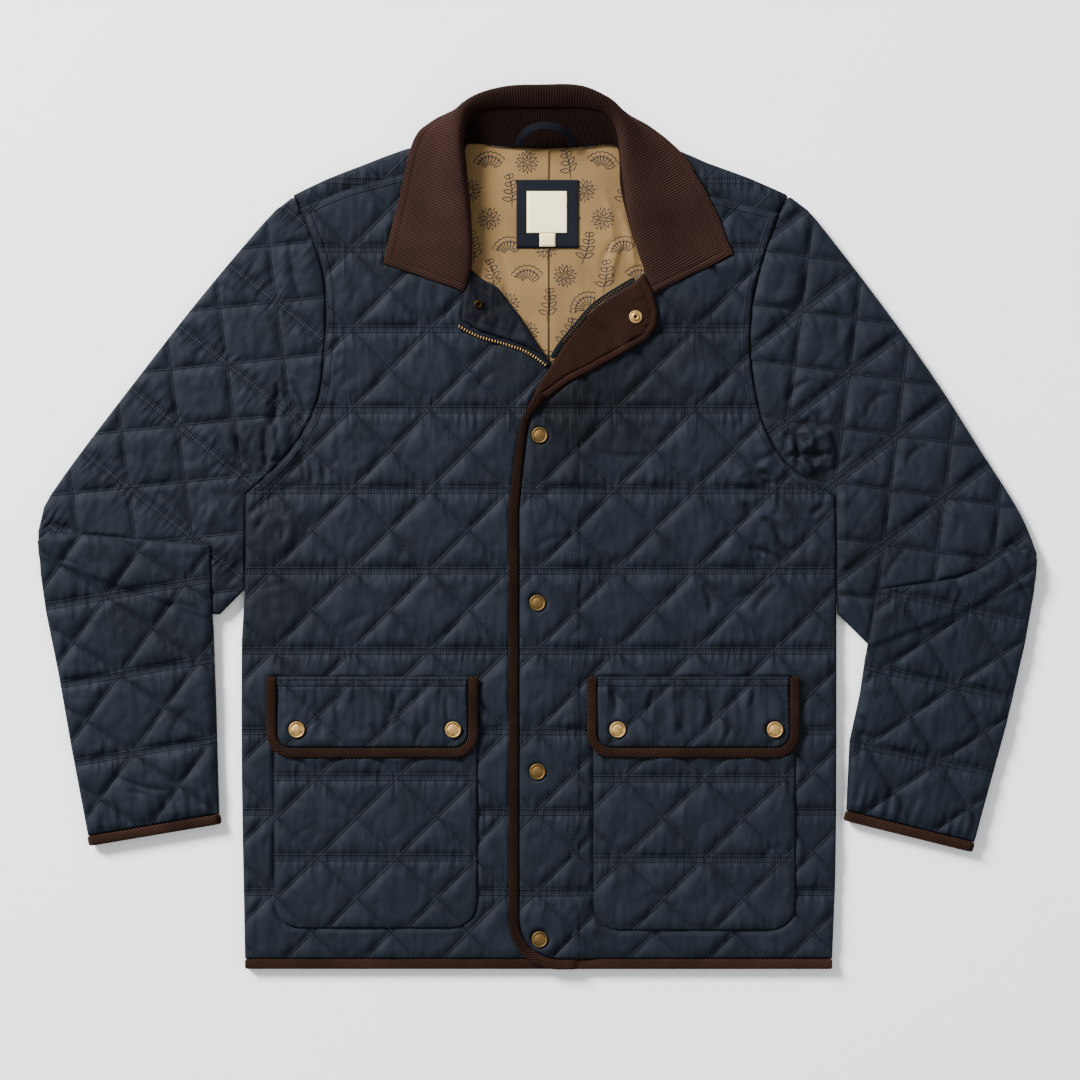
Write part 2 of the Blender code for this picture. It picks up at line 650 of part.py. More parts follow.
def make_corners():
    wall_right, wall_left = FACING_RIGHT_WALL, FACING_LEFT_WALL
    seat = hollow(*SOCKET_AT, CORNER_LOW + wall_right, SOCKET_ACROSS)
    panel("facing_right", "shell", CORNER_RIGHT, CORNER_LOW, wall_right, FACING_RIGHT_PUFF, seats=[seat])
    seat = hollow(*STUD_AT, CORNER_LEFT_LOW + wall_left, STUD_ACROSS)
    panel("facing_left", "corduroy", CORNER_LEFT, CORNER_LEFT_LOW, wall_left, FACING_LEFT_PUFF, seats=[seat])
    socket = disc(SOCKET_ACROSS, SOCKET_TALL, SOCKET_DISH)
    turned("snap_socket", "brass", socket, *SOCKET_AT, CORNER_LOW + wall_right + GAP)
    stud = disc(STUD_ACROSS, STUD_TALL, STUD_DISH)
    turned("snap_stud", "brass", stud, *STUD_AT, CORNER_LEFT_LOW + wall_left + GAP)
    for side, line, low in (("right", ZIP_RIGHT, CORNER_LOW), ("left", ZIP_LEFT, CORNER_LEFT_LOW)):
        path = [(x, y, low + 1.3, ZIP_TALL) for x, y in smooth(line, 8)]
        bar(f"zip_tape_{side}", "patch", path, ZIP_ACROSS)


def make_sleeve(side):
    """One sleeve: the upper stretch and the forearm that is folded over its end, two layers each."""
    right = side == "right"
    armhole, side_seam = (ARMHOLE_RIGHT, SIDE_RIGHT) if right else (ARMHOLE_LEFT, SIDE_LEFT)
    upper, end = (SLEEVE_RIGHT_TOP, SLEEVE_RIGHT_END) if right else (SLEEVE_LEFT_TOP, SLEEVE_LEFT_END)
    forearm = chain(FOREARM_RIGHT if right else FOREARM_LEFT)
    seam = -SEAM_GAP if right else SEAM_GAP
    under_arm = [point for point in smooth(side_seam, 30) if end[-1][1] < point[1] < 26]
    inner = [(x + seam, y) for x, y in (*smooth(armhole), *under_arm)]
    outline = chain(smooth(upper), end, reversed(inner))
    cover = (wider(forearm, 1), FOREARM_SEAT)
    quilt = quilt_of(f"sleeve_{side}")
    panel(f"sleeve_{side}_top", "shell", outline, FRONT_LOW, WALL, PUFF, quilt, (), [cover])
    panel(f"sleeve_{side}_under", "shell", outline, 0, BACK_TOP, curled=True)

    # The sleeve ends on this line, and beyond it the forearm comes down to the surface
    (x, y), (inner_x, inner_y) = end[0], end[2]
    folded = chain(
        [(x * 1.05, y - 2), (inner_x * 0.97, inner_y - 4), (inner_x * 0.9, 60), (x * 1.05, 60)]
    )
    step = (folded, FOREARM_LOW, 5.0)
    quilt = quilt_of(f"forearm_{side}")
    thick, puff = WALL + FOREARM_EXTRA, PUFF + FOREARM_EXTRA
    panel(f"forearm_{side}_top", "shell", forearm, FRONT_LOW, thick, puff, quilt, [step])
    across, along = inner_x - x, inner_y - y
    length = math.hypot(across, along)
    turn = 1 if right else -1
    under = [
        (px, py) for px, py in sampled(forearm, 10)
        if turn * ((px - x) * along - (py - y) * across) / length > LAP_GAP
    ]
    panel(f"forearm_{side}_under", "shell", under, 0, BACK_TOP, curled=True)


def make_cuff(side):
    right = side == "right"
    ends = ((-303, -271.5), (-427, -292.5)) if right else ((294, -268.5), (415, -298.5))
    start, stop = Vector(ends[0]), Vector(ends[1])
    run = (stop - start).normalized()
    down = Vector((run.y, -run.x)) * (-1 if right else 1)
    middle = BINDING / 2 + GAP
    low, high = 2.7, 8.6
    thick = CUFF_BINDING_THICK
    path = []
    length = (stop - start).length
    for share in np.linspace(0.03, 0.97, 8):
        path.append((*(start + run * length * share + down * middle), high, thick))
    path.append((*(start + run * length * 0.995 + down * middle), (low + high) / 2, thick))
    for share in np.linspace(0.97, 0.03, 8):
        path.append((*(start + run * length * share + down * middle), low, thick))
    path.append((*(start + run * length * 0.005 + down * middle), (low + high) / 2, thick))
    bar(f"cuff_binding_{side}", "corduroy", path, BINDING, side=(*down, 0), closed=True)


def make_edge_bindings():
    out = BINDING / 2 + GAP
    x, y = FRONT_EDGE - out, HEM - out
    radius = HEM_CURVE + out
    high, low = OVERLAP_LOW + BINDING_THICK / 2, FRONT_LOW + BINDING_THICK / 2
    route = [(-11.9, 107.4), (-12.2, 101), (-14.7, 88.6), (-19.8, 47.6), (x, 20)]
    route += [(x, step) for step in range(-20, -350, -50)]
    route += arc(x + radius, y + radius, radius, 180, 270, 7)
    spots = [(px, py, high, BINDING_THICK) for px, py in route]
    spots.append((PLACKET_STEP - 1, y, high, BINDING_THICK))
    spots += [(px, y, low, BINDING_THICK) for px in (PLACKET_STEP + 5, 100, 160, 220, 280)]
    bar("binding_front_left", "corduroy", spots, BINDING)
    thick = UNDERLAP_BINDING_THICK
    spots = [(px, y, FRONT_LOW + thick / 2, thick) for px in (-278, -210, -140, -70, -10, 24)]
    bar("binding_front_right", "corduroy", spots, BINDING)
    spots = [(px, y, BACK_TOP / 2, BACK_TOP) for px in (-278, -140, 0, 140, 280)]
    bar("binding_back", "corduroy", spots, BINDING)


def make_pocket(side):
    left, right, top, bottom = POCKETS[side]["bag"]
    flap_left, flap_right, flap_top, flap_bottom = POCKETS[side]["flap"]
    cover = rectangle(flap_left - 12, flap_right + 12, flap_bottom - 1, top + 12)
    panel(
        f"pocket_{side}", "shell", bag(left, right, top, bottom, BAG_CORNER), POCKET_LOW, WALL - 0.4,
        POCKET_PUFF, quilt_of(f"pocket_{side}"), (), [(cover, FLAP_SEAT)],
    )
    rim = BINDING + GAP
    cloth = bag(flap_left + rim, flap_right - rim, flap_top, flap_bottom + rim, FLAP_CORNER - rim)
    snaps = [hollow(x, y, FLAP_LOW + WALL) for x, y in POCKET_SNAPS[side]]
    panel(
        f"flap_{side}", "shell", cloth, FLAP_LOW, WALL, FLAP_PUFF, quilt_of(f"flap_{side}"), (), snaps,
    )
    half = BINDING / 2
    middle = bag(
        flap_left + half, flap_right - half, flap_top, flap_bottom + half, FLAP_CORNER - half
    )
    path = [(x, y, FLAP_LOW + FLAP_BINDING_THICK / 2, FLAP_BINDING_THICK) for x, y in middle]
    bar(f"flap_binding_{side}", "corduroy", path, BINDING - 0.2)
    for number, (x, y) in enumerate(POCKET_SNAPS[side], 1):
        seat = FLAP_LOW + WALL + GAP
        cap = disc(CAP_ACROSS, CAP_TALL, CAP_DISH)
        turned(f"snap_pocket_{side}_{number}", "brass", cap, x, y, seat)


def make_front_snaps():
    for number, (x, y) in enumerate(FRONT_SNAPS, 1):
        seat = OVERLAP_LOW + WALL + GAP
        turned(f"snap_front_{number}", "brass", disc(CAP_ACROSS, CAP_TALL, CAP_DISH), x, y, seat)


def make_label():
    level = NECK_TOP + GAP + PLAIN_WALL + GAP
    panel("label_patch", "patch", rectangle(*PATCH), level, PATCH_WALL)
    level += PATCH_WALL + GAP
    panel("label", "label", rectangle(*LABEL), level, LABEL_WALL)
    panel("size_tab", "label", rectangle(*TAB), level, TAB_WALL)


def collar_place(row, reach, height):
    """A point of a collar section, from its reach outwards and its height."""
    turn = math.radians(row[2])
    return row[0] + reach * math.cos(turn), row[1] + reach * math.sin(turn), height


def collar_section(row, count=10):
    """Centre line of the collar wall from the top of the stand over the roll to its outer edge."""
    handles = [np.array(pair) for pair in ((0, row[3]), row[4:6], row[6:8], row[8:10])]
    shares = np.linspace(0, 1, count)
    return [
        collar_place(row, *(
            handles[0] * (1 - t) ** 3 + 3 * handles[1] * t * (1 - t) ** 2
            + 3 * handles[2] * t**2 * (1 - t) + handles[3] * t**3
        )) for t in shares
    ]


def between(rows, count):
    """Rows of a table with softly interpolated ones between them."""
    rows = [np.array(row, float) for row in rows]
    ends = [rows[0], *rows, rows[-1]]
    made = []
    for before, start, end, after in zip(ends, ends[1:], ends[2:], ends[3:]):
        for step in range(count):
            t = step / count
            pull = (end - before) * (t - 2 * t**2 + t**3) / 2 + (after - start) * (t**3 - t**2) / 2
            made.append(start * (1 - 3 * t**2 + 2 * t**3) + end * (3 * t**2 - 2 * t**3) + pull)
    return made + [rows[-1]]


def make_collar():
    sections = [collar_section(row) for row in between(COLLAR, 2)]
    loft("collar", "corduroy", sections, CORD_WALL)
    walls = []
    for x, y, top_x, top_y, low, high in between(STAND, 2):
        walls.append([
            (x + (top_x - x) * t, y + (top_y - y) * t, low + (high - low) * t) for t in (0, 0.33, 0.67, 1)
        ])
    loft("collar_stand", "corduroy", walls, STAND_WALL)
    path = [(x, y, z, LOOP_THICK) for x, y, z in smooth(LOOP, 6)]
    bar("hanger_loop", "patch", path, LOOP_TAPE)


def main():
    for thing in list(bpy.data.objects):
        bpy.data.objects.remove(thing)
    make_back()
    make_fronts()
    make_corners()
    for side in ("right", "left"):
        make_sleeve(side)
        make_cuff(side)
        make_pocket(side)
    make_edge_bindings()
    make_front_snaps()
    make_label()
    make_collar()


JACKET = bpy.data.collections.new("quilted_jacket")
bpy.context.scene.collection.children.link(JACKET)
main()
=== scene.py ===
# %% [markdown]
# # A quilted jacket, laid flat
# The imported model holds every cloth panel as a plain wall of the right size, in the right place.
# This lesson dresses it: each panel becomes a finely cut sheet with quilting, seams and creases,
# corduroy gets its ribs, and thread, zip teeth and snap caps are added on top.
# Sizes are in millimetres wherever a table or a named value holds them, and MM turns them to
# metres. Right and left are the wearer's, so the right side lies at -X.

import json
import math

import bmesh
import bpy
import numpy as np
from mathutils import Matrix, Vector, noise
from mathutils.bvhtree import BVHTree

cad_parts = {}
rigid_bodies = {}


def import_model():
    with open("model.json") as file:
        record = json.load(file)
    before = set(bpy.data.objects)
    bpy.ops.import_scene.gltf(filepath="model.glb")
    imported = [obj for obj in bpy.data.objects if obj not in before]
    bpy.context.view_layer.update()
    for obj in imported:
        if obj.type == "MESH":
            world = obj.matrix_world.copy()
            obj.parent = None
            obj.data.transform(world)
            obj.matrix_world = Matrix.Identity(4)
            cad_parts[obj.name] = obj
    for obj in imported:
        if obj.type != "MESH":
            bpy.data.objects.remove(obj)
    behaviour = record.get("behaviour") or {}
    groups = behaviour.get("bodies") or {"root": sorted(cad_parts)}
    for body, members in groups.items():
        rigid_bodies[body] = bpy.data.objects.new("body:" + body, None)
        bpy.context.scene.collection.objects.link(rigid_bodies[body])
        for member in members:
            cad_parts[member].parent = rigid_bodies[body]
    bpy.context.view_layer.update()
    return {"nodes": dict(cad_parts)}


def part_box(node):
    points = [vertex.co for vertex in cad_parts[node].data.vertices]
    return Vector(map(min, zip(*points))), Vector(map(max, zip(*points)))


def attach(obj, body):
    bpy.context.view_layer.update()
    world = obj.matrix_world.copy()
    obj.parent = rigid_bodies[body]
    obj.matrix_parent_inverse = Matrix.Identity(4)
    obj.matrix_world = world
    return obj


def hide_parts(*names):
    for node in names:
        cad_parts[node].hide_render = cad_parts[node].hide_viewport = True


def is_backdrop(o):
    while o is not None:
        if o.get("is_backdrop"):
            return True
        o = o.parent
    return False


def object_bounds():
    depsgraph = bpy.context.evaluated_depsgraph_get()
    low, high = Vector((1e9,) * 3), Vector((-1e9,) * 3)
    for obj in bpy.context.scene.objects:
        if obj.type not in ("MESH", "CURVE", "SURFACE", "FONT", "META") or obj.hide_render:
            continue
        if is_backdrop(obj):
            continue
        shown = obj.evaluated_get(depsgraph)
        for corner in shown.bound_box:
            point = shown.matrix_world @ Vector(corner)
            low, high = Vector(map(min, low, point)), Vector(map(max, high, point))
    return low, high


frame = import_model()
MM = 0.001
GAP = 0.3  # between two layers that touch

# %% [markdown]
# ## Camera, light and floor
# A garment on a table is pictured from straight above. A long lens keeps the hems square. One
# large soft light from the upper left rakes across the quilting, so that each puff gets a lit and
# a shaded side, and a pale surrounding fills the shadows.

# %% Camera, straight above
VIEW_WIDE, LENS, SENSOR = 1026, 85, 36
camera = bpy.data.objects.new("camera", bpy.data.cameras.new("camera"))
camera.data.lens, camera.data.sensor_width = LENS, SENSOR
camera.location = Vector((2.4, -11.4, VIEW_WIDE * LENS / SENSOR + 8)) * MM
bpy.context.scene.collection.objects.link(camera)
bpy.context.scene.camera = camera

# %% A large raking light, a weak one from the other side, and a pale surrounding
SURROUND, SURROUND_STRENGTH = (0.93, 0.96, 1, 1), 0.71
LIGHTS = (
    # name, x, y, z of the light in metres, side in metres, watts
    ("key", -3.8, 3.5, 2.9, 1.7, 1470),
    ("fill", 1.6, -0.6, 2.4, 2.0, 18),
)
for name, x, y, z, side, watts in LIGHTS:
    lamp = bpy.data.objects.new(name, bpy.data.lights.new(name, "AREA"))
    lamp.data.size, lamp.data.energy = side, watts
    lamp.location = (x, y, z)
    lamp.rotation_mode = "QUATERNION"
    lamp.rotation_quaternion = Vector((x, y, z)).to_track_quat("Z", "Y")
    bpy.context.scene.collection.objects.link(lamp)
surround = bpy.data.worlds.new("pale surrounding")
surround.use_nodes = True
background = surround.node_tree.nodes["Background"]
background.inputs["Color"].default_value = SURROUND
background.inputs["Strength"].default_value = SURROUND_STRENGTH
bpy.context.scene.world = surround

# %% [markdown]
# ## Finishes
# A finish is a small tree of nodes. Colours are written as the sRGB hex values that a picture
# editor shows, and turned to the linear values that the shader works in. One function adds any
# node, with its settings, its values and its links, and a few short ones add the usual kinds.


# %% Helpers for every finish
def linear(code):
    """The linear colour of a hex value."""
    parts = [int(code[i : i + 2], 16) / 255 for i in (1, 3, 5)]
    return (*(p / 12.92 if p <= 0.04045 else ((p + 0.055) / 1.055) ** 2.4 for p in parts), 1)


def add(tree, kind, values=None, links=None, **settings):
    """Adds a node, with values for its sockets and links from other sockets."""
    made = tree.nodes.new("ShaderNode" + kind)
    for name, value in settings.items():
        setattr(made, name, value)
    for socket, value in (values or {}).items():
        made.inputs[socket].default_value = value
    for socket, source in (links or {}).items():
        tree.links.new(source, made.inputs[socket])
    return made


def finish_of(name, roughness, **values):
    """A new material, its tree and its shader, whose constant values are set here."""
    made = bpy.data.materials.new(name)
    made.use_nodes = True
    shader = made.node_tree.nodes["Principled BSDF"]
    shader.inputs["Roughness"].default_value = roughness
    for socket, value in values.items():
        shader.inputs[socket.replace("_", " ")].default_value = value
    return made, made.node_tree, shader


def grain(tree, scale, detail=2.0):
    """Noise with this many lumps to a metre."""
    place = add(tree, "TexCoord").outputs["Object"]
    return add(tree, "TexNoise", {"Scale": scale, "Detail": detail}, {"Vector": place}).outputs[0]


def span(tree, value, low, high, first=0.0, last=1.0, step="LINEAR"):
    """The first number below a low value, the last one above a high value, and a step between."""
    settings = {"From Min": low, "From Max": high, "To Min": first, "To Max": last}
    return add(tree, "MapRange", settings, {"Value": value}, interpolation_type=step).outputs[0]


def blend(tree, dark, light, share):
    """Two hex colours, mixed by a share."""
    colours = {"Color1": linear(dark), "Color2": linear(light)}
    return add(tree, "MixRGB", colours, {"Fac": share}).outputs[0]


def times(tree, colour, share):
    """A colour, darkened to a share of itself."""
    links = {"Color1": colour, "Color2": share}
    return add(tree, "MixRGB", {"Fac": 1.0}, links, blend_type="MULTIPLY").outputs[0]


def bumped(tree, height, strength, deep, below=None):
    """A bump of a height field, so many millimetres deep, on top of another one."""
    links = {"Height": height} if below is None else {"Height": height, "Normal": below}
    return add(tree, "Bump", {"Strength": strength, "Distance": deep * MM}, links).outputs[0]


def use(tree, shader, colour, normal=None):
    """Links a colour and a bump to the shader."""
    tree.links.new(colour, shader.inputs["Base Color"])
    if normal is not None:
        tree.links.new(normal, shader.inputs["Normal"])


# %% Floor: a matt painted board, so pale and dull that it shows only soft shadows
FLOOR_DROP = 0.4  # the board lies just clear of the cloth
board, tree, shader = finish_of("painted board, matt", 0.9)
use(tree, shader, blend(tree, "#f4f4f3", "#f8f8f8", grain(tree, 3.0)))
bm = bmesh.new()
bmesh.ops.create_grid(bm, x_segments=2, y_segments=2, size=3)
bmesh.ops.translate(bm, vec=(0, 0, -FLOOR_DROP * MM), verts=bm.verts)
floor = bpy.data.objects.new("floor", bpy.data.meshes.new("floor"))
bm.to_mesh(floor.data)
bm.free()
floor.data.materials.append(board)
bpy.context.scene.collection.objects.link(floor)
floor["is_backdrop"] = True

# %% [markdown]
# ### Shell: polyester weave, dyed navy and quilted
# The cloth is thin and close, so it has a soft, wide gloss. Stitching pulls it into fine puckers
# that run square to a row of stitches, about one to a stitch. They are finer than the cut of the
# mesh, so they are bump, laid out on the panel's own "quilt" map, in which one unit is one repeat
# of the quilting. Between the two rows of a double row they are regular and on either side ragged.
# The "seam" map does the same beside sewn seams, and the "painted_shade" map holds shade painted into
# the colour: it grows with how deep in a fold a place lies, and it also darkens a puffed border and broad
# patches.

# %% Shell finish
REPEAT = 76.0  # one unit of the quilt map
STITCH = 2.6  # from one stitch to the next
ROW_PAIR = 5.2  # between the two rows of a double row


def shell_cloth(name, dark, light, pucker=1.0, quilted=True, ladders=True):
    """The shell's cloth, with or without quilting and the regular puckers of a double row."""
    gloss = {"Sheen_Weight": 0.04, "Sheen_Roughness": 0.4, "Specular_IOR_Level": 0.09}
    made, tree, shader = finish_of(name, 0.7, **gloss)
    shader.inputs["Sheen Tint"].default_value = linear("#8fa3bb")

    def map_of(name):
        """The two values of a UV map."""
        return add(tree, "SeparateXYZ", links={0: add(tree, "UVMap", uv_map=name).outputs[0]}).outputs[:2]

    def math_of(operation, *inputs):
        """A Math node whose inputs are sockets or numbers."""
        links = {i: value for i, value in enumerate(inputs) if not isinstance(value, (int, float))}
        numbers = {i: value for i, value in enumerate(inputs) if isinstance(value, (int, float))}
        return add(tree, "Math", numbers, links, operation=operation).outputs[0]

    def fade(value, start, end, first, last):
        """A soft step between two distances in millimetres."""
        return span(tree, value, start / REPEAT, end / REPEAT, first, last, "SMOOTHSTEP")

    def streaks(wide, long, detail=2.0):
        """Noise whose lumps are this wide across the panel and this long down it."""
        scale = {"Scale": (REPEAT / wide, REPEAT / long, 1.0)}
        place = add(tree, "Mapping", scale, {"Vector": add(tree, "UVMap", uv_map="quilt").outputs[0]})
        values, links = {"Scale": 1.0, "Detail": detail}, {"Vector": place.outputs[0]}
        return add(tree, "TexNoise", values, links, noise_dimensions="2D").outputs[0]

    def row_at(off):
        """The thin dark groove of a line of stitches, at each row of a pair."""
        away = math_of("ABSOLUTE", math_of("SUBTRACT", off, ROW_PAIR / 2 / REPEAT))
        return fade(away, 0.1, 1.0, 1.0, 0.0)

    def wave_on(along):
        """One regular pucker to a stitch."""
        return math_of("SINE", math_of("MULTIPLY", along, 2 * math.pi * REPEAT / STITCH))

    (u, v), (seam_off, seam_on), (painted_shade, _) = map_of("quilt"), map_of("seam"), map_of("painted_shade")
    seam_off = math_of("ABSOLUTE", seam_off)
    away = math_of("ABSOLUTE", math_of("WRAP", v, 0.5, -0.5))
    # between the two rows: regular puckers, shifted a little along the row, and weaker at a seam
    wave = wave_on(math_of("MULTIPLY_ADD", streaks(9, 9, 1.0), 0.04, u))
    regular = math_of("MULTIPLY", wave, fade(away, 2.2, 3.2, 0.26 if ladders else 0.08, 0.0))
    at_seam = math_of("MULTIPLY", wave_on(seam_on), fade(seam_off, 2.2, 3.4, 0.12, 0.0))
    regular = math_of("ADD", regular, at_seam)
    # beside the rows: short gathers, and longer sharp creases that fade out into the padding
    gathers = math_of("SUBTRACT", streaks(6.0, 26, 0.5), 0.5)
    gathers = math_of("MULTIPLY", gathers, fade(away, 2.6, 22, 2.4, 0.3))
    ridge = math_of("ABSOLUTE", math_of("SUBTRACT", streaks(17, 60, 1.5), 0.5))
    spread = math_of("MULTIPLY", fade(away, 3, 30, 1.0, 0.25), streaks(40, 40))
    creased = math_of("MULTIPLY", span(tree, ridge, 0.0, 0.14, -1.0, 0.0, "SMOOTHSTEP"), spread)
    relief = math_of("ADD", regular, math_of("ADD", gathers, math_of("MULTIPLY", creased, 1.3)))
    # along the diagonals: weak gathers
    lines = row_at(away)
    for sign in (1, -1):
        slant = math_of("ABSOLUTE", math_of("WRAP", math_of("MULTIPLY_ADD", v, sign, u), 0.5, -0.5))
        weak = math_of("SUBTRACT", streaks(5, 7, 0.0), 0.5)
        weak = math_of("MULTIPLY", weak, fade(slant, 0, 9, 0.8, 0.0))
        relief = math_of("ADD", relief, weak)
        lines = math_of("MAXIMUM", lines, fade(slant, 0.1, 1.3, 1.0, 0.0))
    if quilted:
        relief = math_of("MULTIPLY_ADD", lines, -0.9, relief)
        relief = math_of("MULTIPLY_ADD", row_at(seam_off), -0.8, relief)
    # weave, drawn at 1.1 mm because the real 0.25 mm yarn is too fine to show
    weave = bumped(tree, streaks(1.1, 1.1, 1.0), 0.15, 0.3)
    # colour: soft patches, with painted shade down in the puckers and stitch grooves and more in the folds
    tone = blend(tree, dark, light, streaks(34, 34, 3.0))
    shade = times(tree, tone, span(tree, relief, -1.0, 0.3, 0.78, 1.0))
    shade = times(tree, shade, span(tree, painted_shade, 0.0, 1.0, 1.0, 0.42))
    use(tree, shader, shade, bumped(tree, relief, 0.7 * pucker, 1.0, weave))
    return made


NAVY = "polyester weave, dyed navy"
shell = shell_cloth(f"{NAVY} and quilted", "#0d1117", "#171c25")
cuff_shell = shell_cloth(f"{NAVY}, quilted flat", "#0c1016", "#151b24", ladders=False)
facing_shell = shell_cloth(f"{NAVY}, turned back", "#04050a", "#0a0d14", pucker=0.6, quilted=False)
shell_plain = shell_cloth(f"{NAVY}, unquilted", "#090b11", "#0f121a", pucker=0.25, quilted=False)

# %% [markdown]
# ### Corduroy: cotton with cut ribs
# Corduroy has rows of standing pile, so it looks lightest on top of a rib and almost black in the
# groove, and it scatters light at its rim. The ribs themselves are geometry. The "rib" map counts
# them across, and the finish paints shade into each groove and adds the grain of the pile.


# %% Corduroy finish
def corduroy_cloth(name, dark, light, groove, wide=0.26):
    """Corduroy whose grooves take up this share of a rib."""
    gloss = {"Sheen_Weight": 0.08, "Sheen_Roughness": 0.5, "Specular_IOR_Level": 0.04}
    made, tree, shader = finish_of(name, 0.95, **gloss)
    shader.inputs["Sheen Tint"].default_value = linear("#a0705a")
    across = add(tree, "SeparateXYZ", links={0: add(tree, "UVMap", uv_map="rib").outputs[0]})
    phase = add(tree, "Math", {1: 0.5, 2: -0.5}, {0: across.outputs[0]}, operation="WRAP")
    off = add(tree, "Math", links={0: phase.outputs[0]}, operation="ABSOLUTE")
    rib = span(tree, off.outputs[0], 0.02, wide, step="SMOOTHSTEP")
    pile, rub = grain(tree, 1.1 / MM, 3.0), grain(tree, 0.03 / MM, 3.0)
    mixed = add(tree, "Math", {1: 0.55}, {0: pile, 2: rub}, operation="MULTIPLY_ADD")
    tone = blend(tree, dark, light, span(tree, mixed.outputs[0], 0.45, 1.1))
    # painted shade: the groove colour darkens the cloth between the ribs
    cut = add(tree, "MixRGB", {"Color1": linear(groove)}, {"Fac": rib, "Color2": tone})
    # painted shade for pile that leans away from the eye: the map's other value says how much
    leaned = times(tree, cut.outputs[0], span(tree, across.outputs[1], 0.0, 1.0, 1.0, 0.0))
    use(tree, shader, leaned, bumped(tree, pile, 0.35, 0.4, bumped(tree, rib, 0.6, 0.4)))
    return made


CORD = "cotton corduroy"
corduroy = corduroy_cloth(f"{CORD}, cut and brushed", "#221512", "#31201b", "#150b09", 0.32)
facing_cord = corduroy_cloth(f"{CORD}, turned back", "#1a0f0a", "#291812", "#0f0705", 0.3)
# painted shade: the stand is the collar's corduroy in darker colours, because it lies in shade inside the
# neck
stand_cord = corduroy_cloth(f"{CORD}, in painted shade inside the neck", "#0f0907", "#170d0a", "#050202", 0.34)
hem_cord = corduroy_cloth(f"{CORD}, cut on the bias", "#1f120c", "#37241b", "#050202", 0.42)
flap_cord = corduroy_cloth(f"{CORD}, cut on the bias, dark", "#170d09", "#2c1d16", "#070403", 0.44)
edge_cord = corduroy_cloth(f"{CORD}, cut on the bias, rubbed", "#20130d", "#3b261e", "#0a0604", 0.44)

# %% [markdown]
# ### Lining, tape, label and thread
# The lining is a light cotton weave, soft and a little warm. Tape and label are woven closer, so
# they are flatter, with fine threads that run two ways.


# %% Woven finishes
def woven_cloth(name, dark, light, thread, depth=0.25, sheen=0.2, gloss=0.2):
    """A plain weave whose threads lie this many millimetres apart."""
    made, tree, shader = finish_of(name, 0.85, Sheen_Weight=sheen, Specular_IOR_Level=gloss)
    wave = {"Scale": 2 * math.pi / 20 / (thread * MM), "Distortion": 1.2, "Detail": 1.0}
    place = {"Vector": add(tree, "TexCoord").outputs["Object"]}
    ways = [add(tree, "TexWave", wave, place, bands_direction=way).outputs[1] for way in ("X", "Y")]
    cross = add(tree, "Math", links=dict(enumerate(ways)), operation="MAXIMUM").outputs[0]
    links = {0: cross, 2: grain(tree, 0.02 / MM, 4.0)}
    mixed = add(tree, "Math", {1: 0.35}, links, operation="MULTIPLY_ADD")
    tone = blend(tree, dark, light, span(tree, mixed.outputs[0], 0.4, 0.95))
    use(tree, shader, tone, bumped(tree, cross, depth, 0.2))
    return made


lining = woven_cloth("cotton lawn, dyed tan", "#594328", "#755c38", 0.9, sheen=0.03)
ink = woven_cloth("pigment print, navy", "#090e15", "#111722", 0.9, sheen=0.0)
TWILL = {"thread": 1.2, "depth": 0.5, "sheen": 0.02, "gloss": 0.07}
tape_cloth = woven_cloth("cotton twill tape, navy", "#05060a", "#090d15", **TWILL)
patch_cloth = woven_cloth("cotton twill patch, slate navy", "#0a0b10", "#12151c", **TWILL)
label_cloth = woven_cloth("damask label, cream", "#ecdaa8", "#ffefc0", 0.8)
tab_cloth = woven_cloth("satin tab, ivory", "#dfca8c", "#f2e0a6", 0.7)
shell_thread = woven_cloth("polyester thread, navy", "#020305", "#05070a", 0.4, sheen=0.0)
cord_thread = woven_cloth("polyester thread, brown", "#090503", "#120907", 0.4, sheen=0.0)


# %% Brass: dull and patchy where it is antiqued, almost black as patina in the marks of a cap and as painted shade in the holes of the socket and the stud
def brass_of(name, roughness, dark, light, scale=0.5, detail=2.0):
    """Brass with soft patches, so many of them to a millimetre."""
    made, tree, shader = finish_of(name, roughness, Metallic=1.0)
    use(tree, shader, blend(tree, dark, light, grain(tree, scale / MM, detail)))
    return made


brass, tree, shader = finish_of("brass, cast and antiqued", 0.58, Metallic=1.0)
spots = grain(tree, 0.35 / MM, 4.0)
tone = blend(tree, "#927140", "#b99964", span(tree, spots, 0.35, 0.7))
use(tree, shader, tone, bumped(tree, spots, 0.2, 0.1))
old_brass = brass_of("brass, stamped and darkened", 0.45, "#342815", "#5f4a2a")
black_brass = brass_of("brass, stamped and blackened", 0.55, "#181208", "#2f2412")
# the caps on the front get a darker brass than those on the pockets
darker_cap_brass = brass_of("brass, cast and darkened", 0.55, "#523e24", "#735b35", 0.35, 4.0)
# patina in the marks round a cap, and painted shade in the holes of the socket and the stud
patina_and_shade = brass_of("brass, dark in its hollows", 0.7, "#0c0702", "#1c1307")
tooth_brass = brass_of("brass, stamped", 0.5, "#604c2d", "#947849")
print(len(bpy.data.materials), "finishes")

# %% [markdown]
# ## Panels: from a plain wall to quilted cloth
# A panel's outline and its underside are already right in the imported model. So the underside is
# copied, flattened and merged into one face, and that face is cut along the lines of the quilting,
# many to a repeat. Every stitch line then runs through points of the mesh, and a formula that says
# how high the padding stands at each point gives the relief. Last, the border is drawn down to the
# underside and closed.


# %% Ask a packed panel where its underside lies
SIDE_LEAN = 0.2  # a face counts as a side where its normal rises or falls by less than this


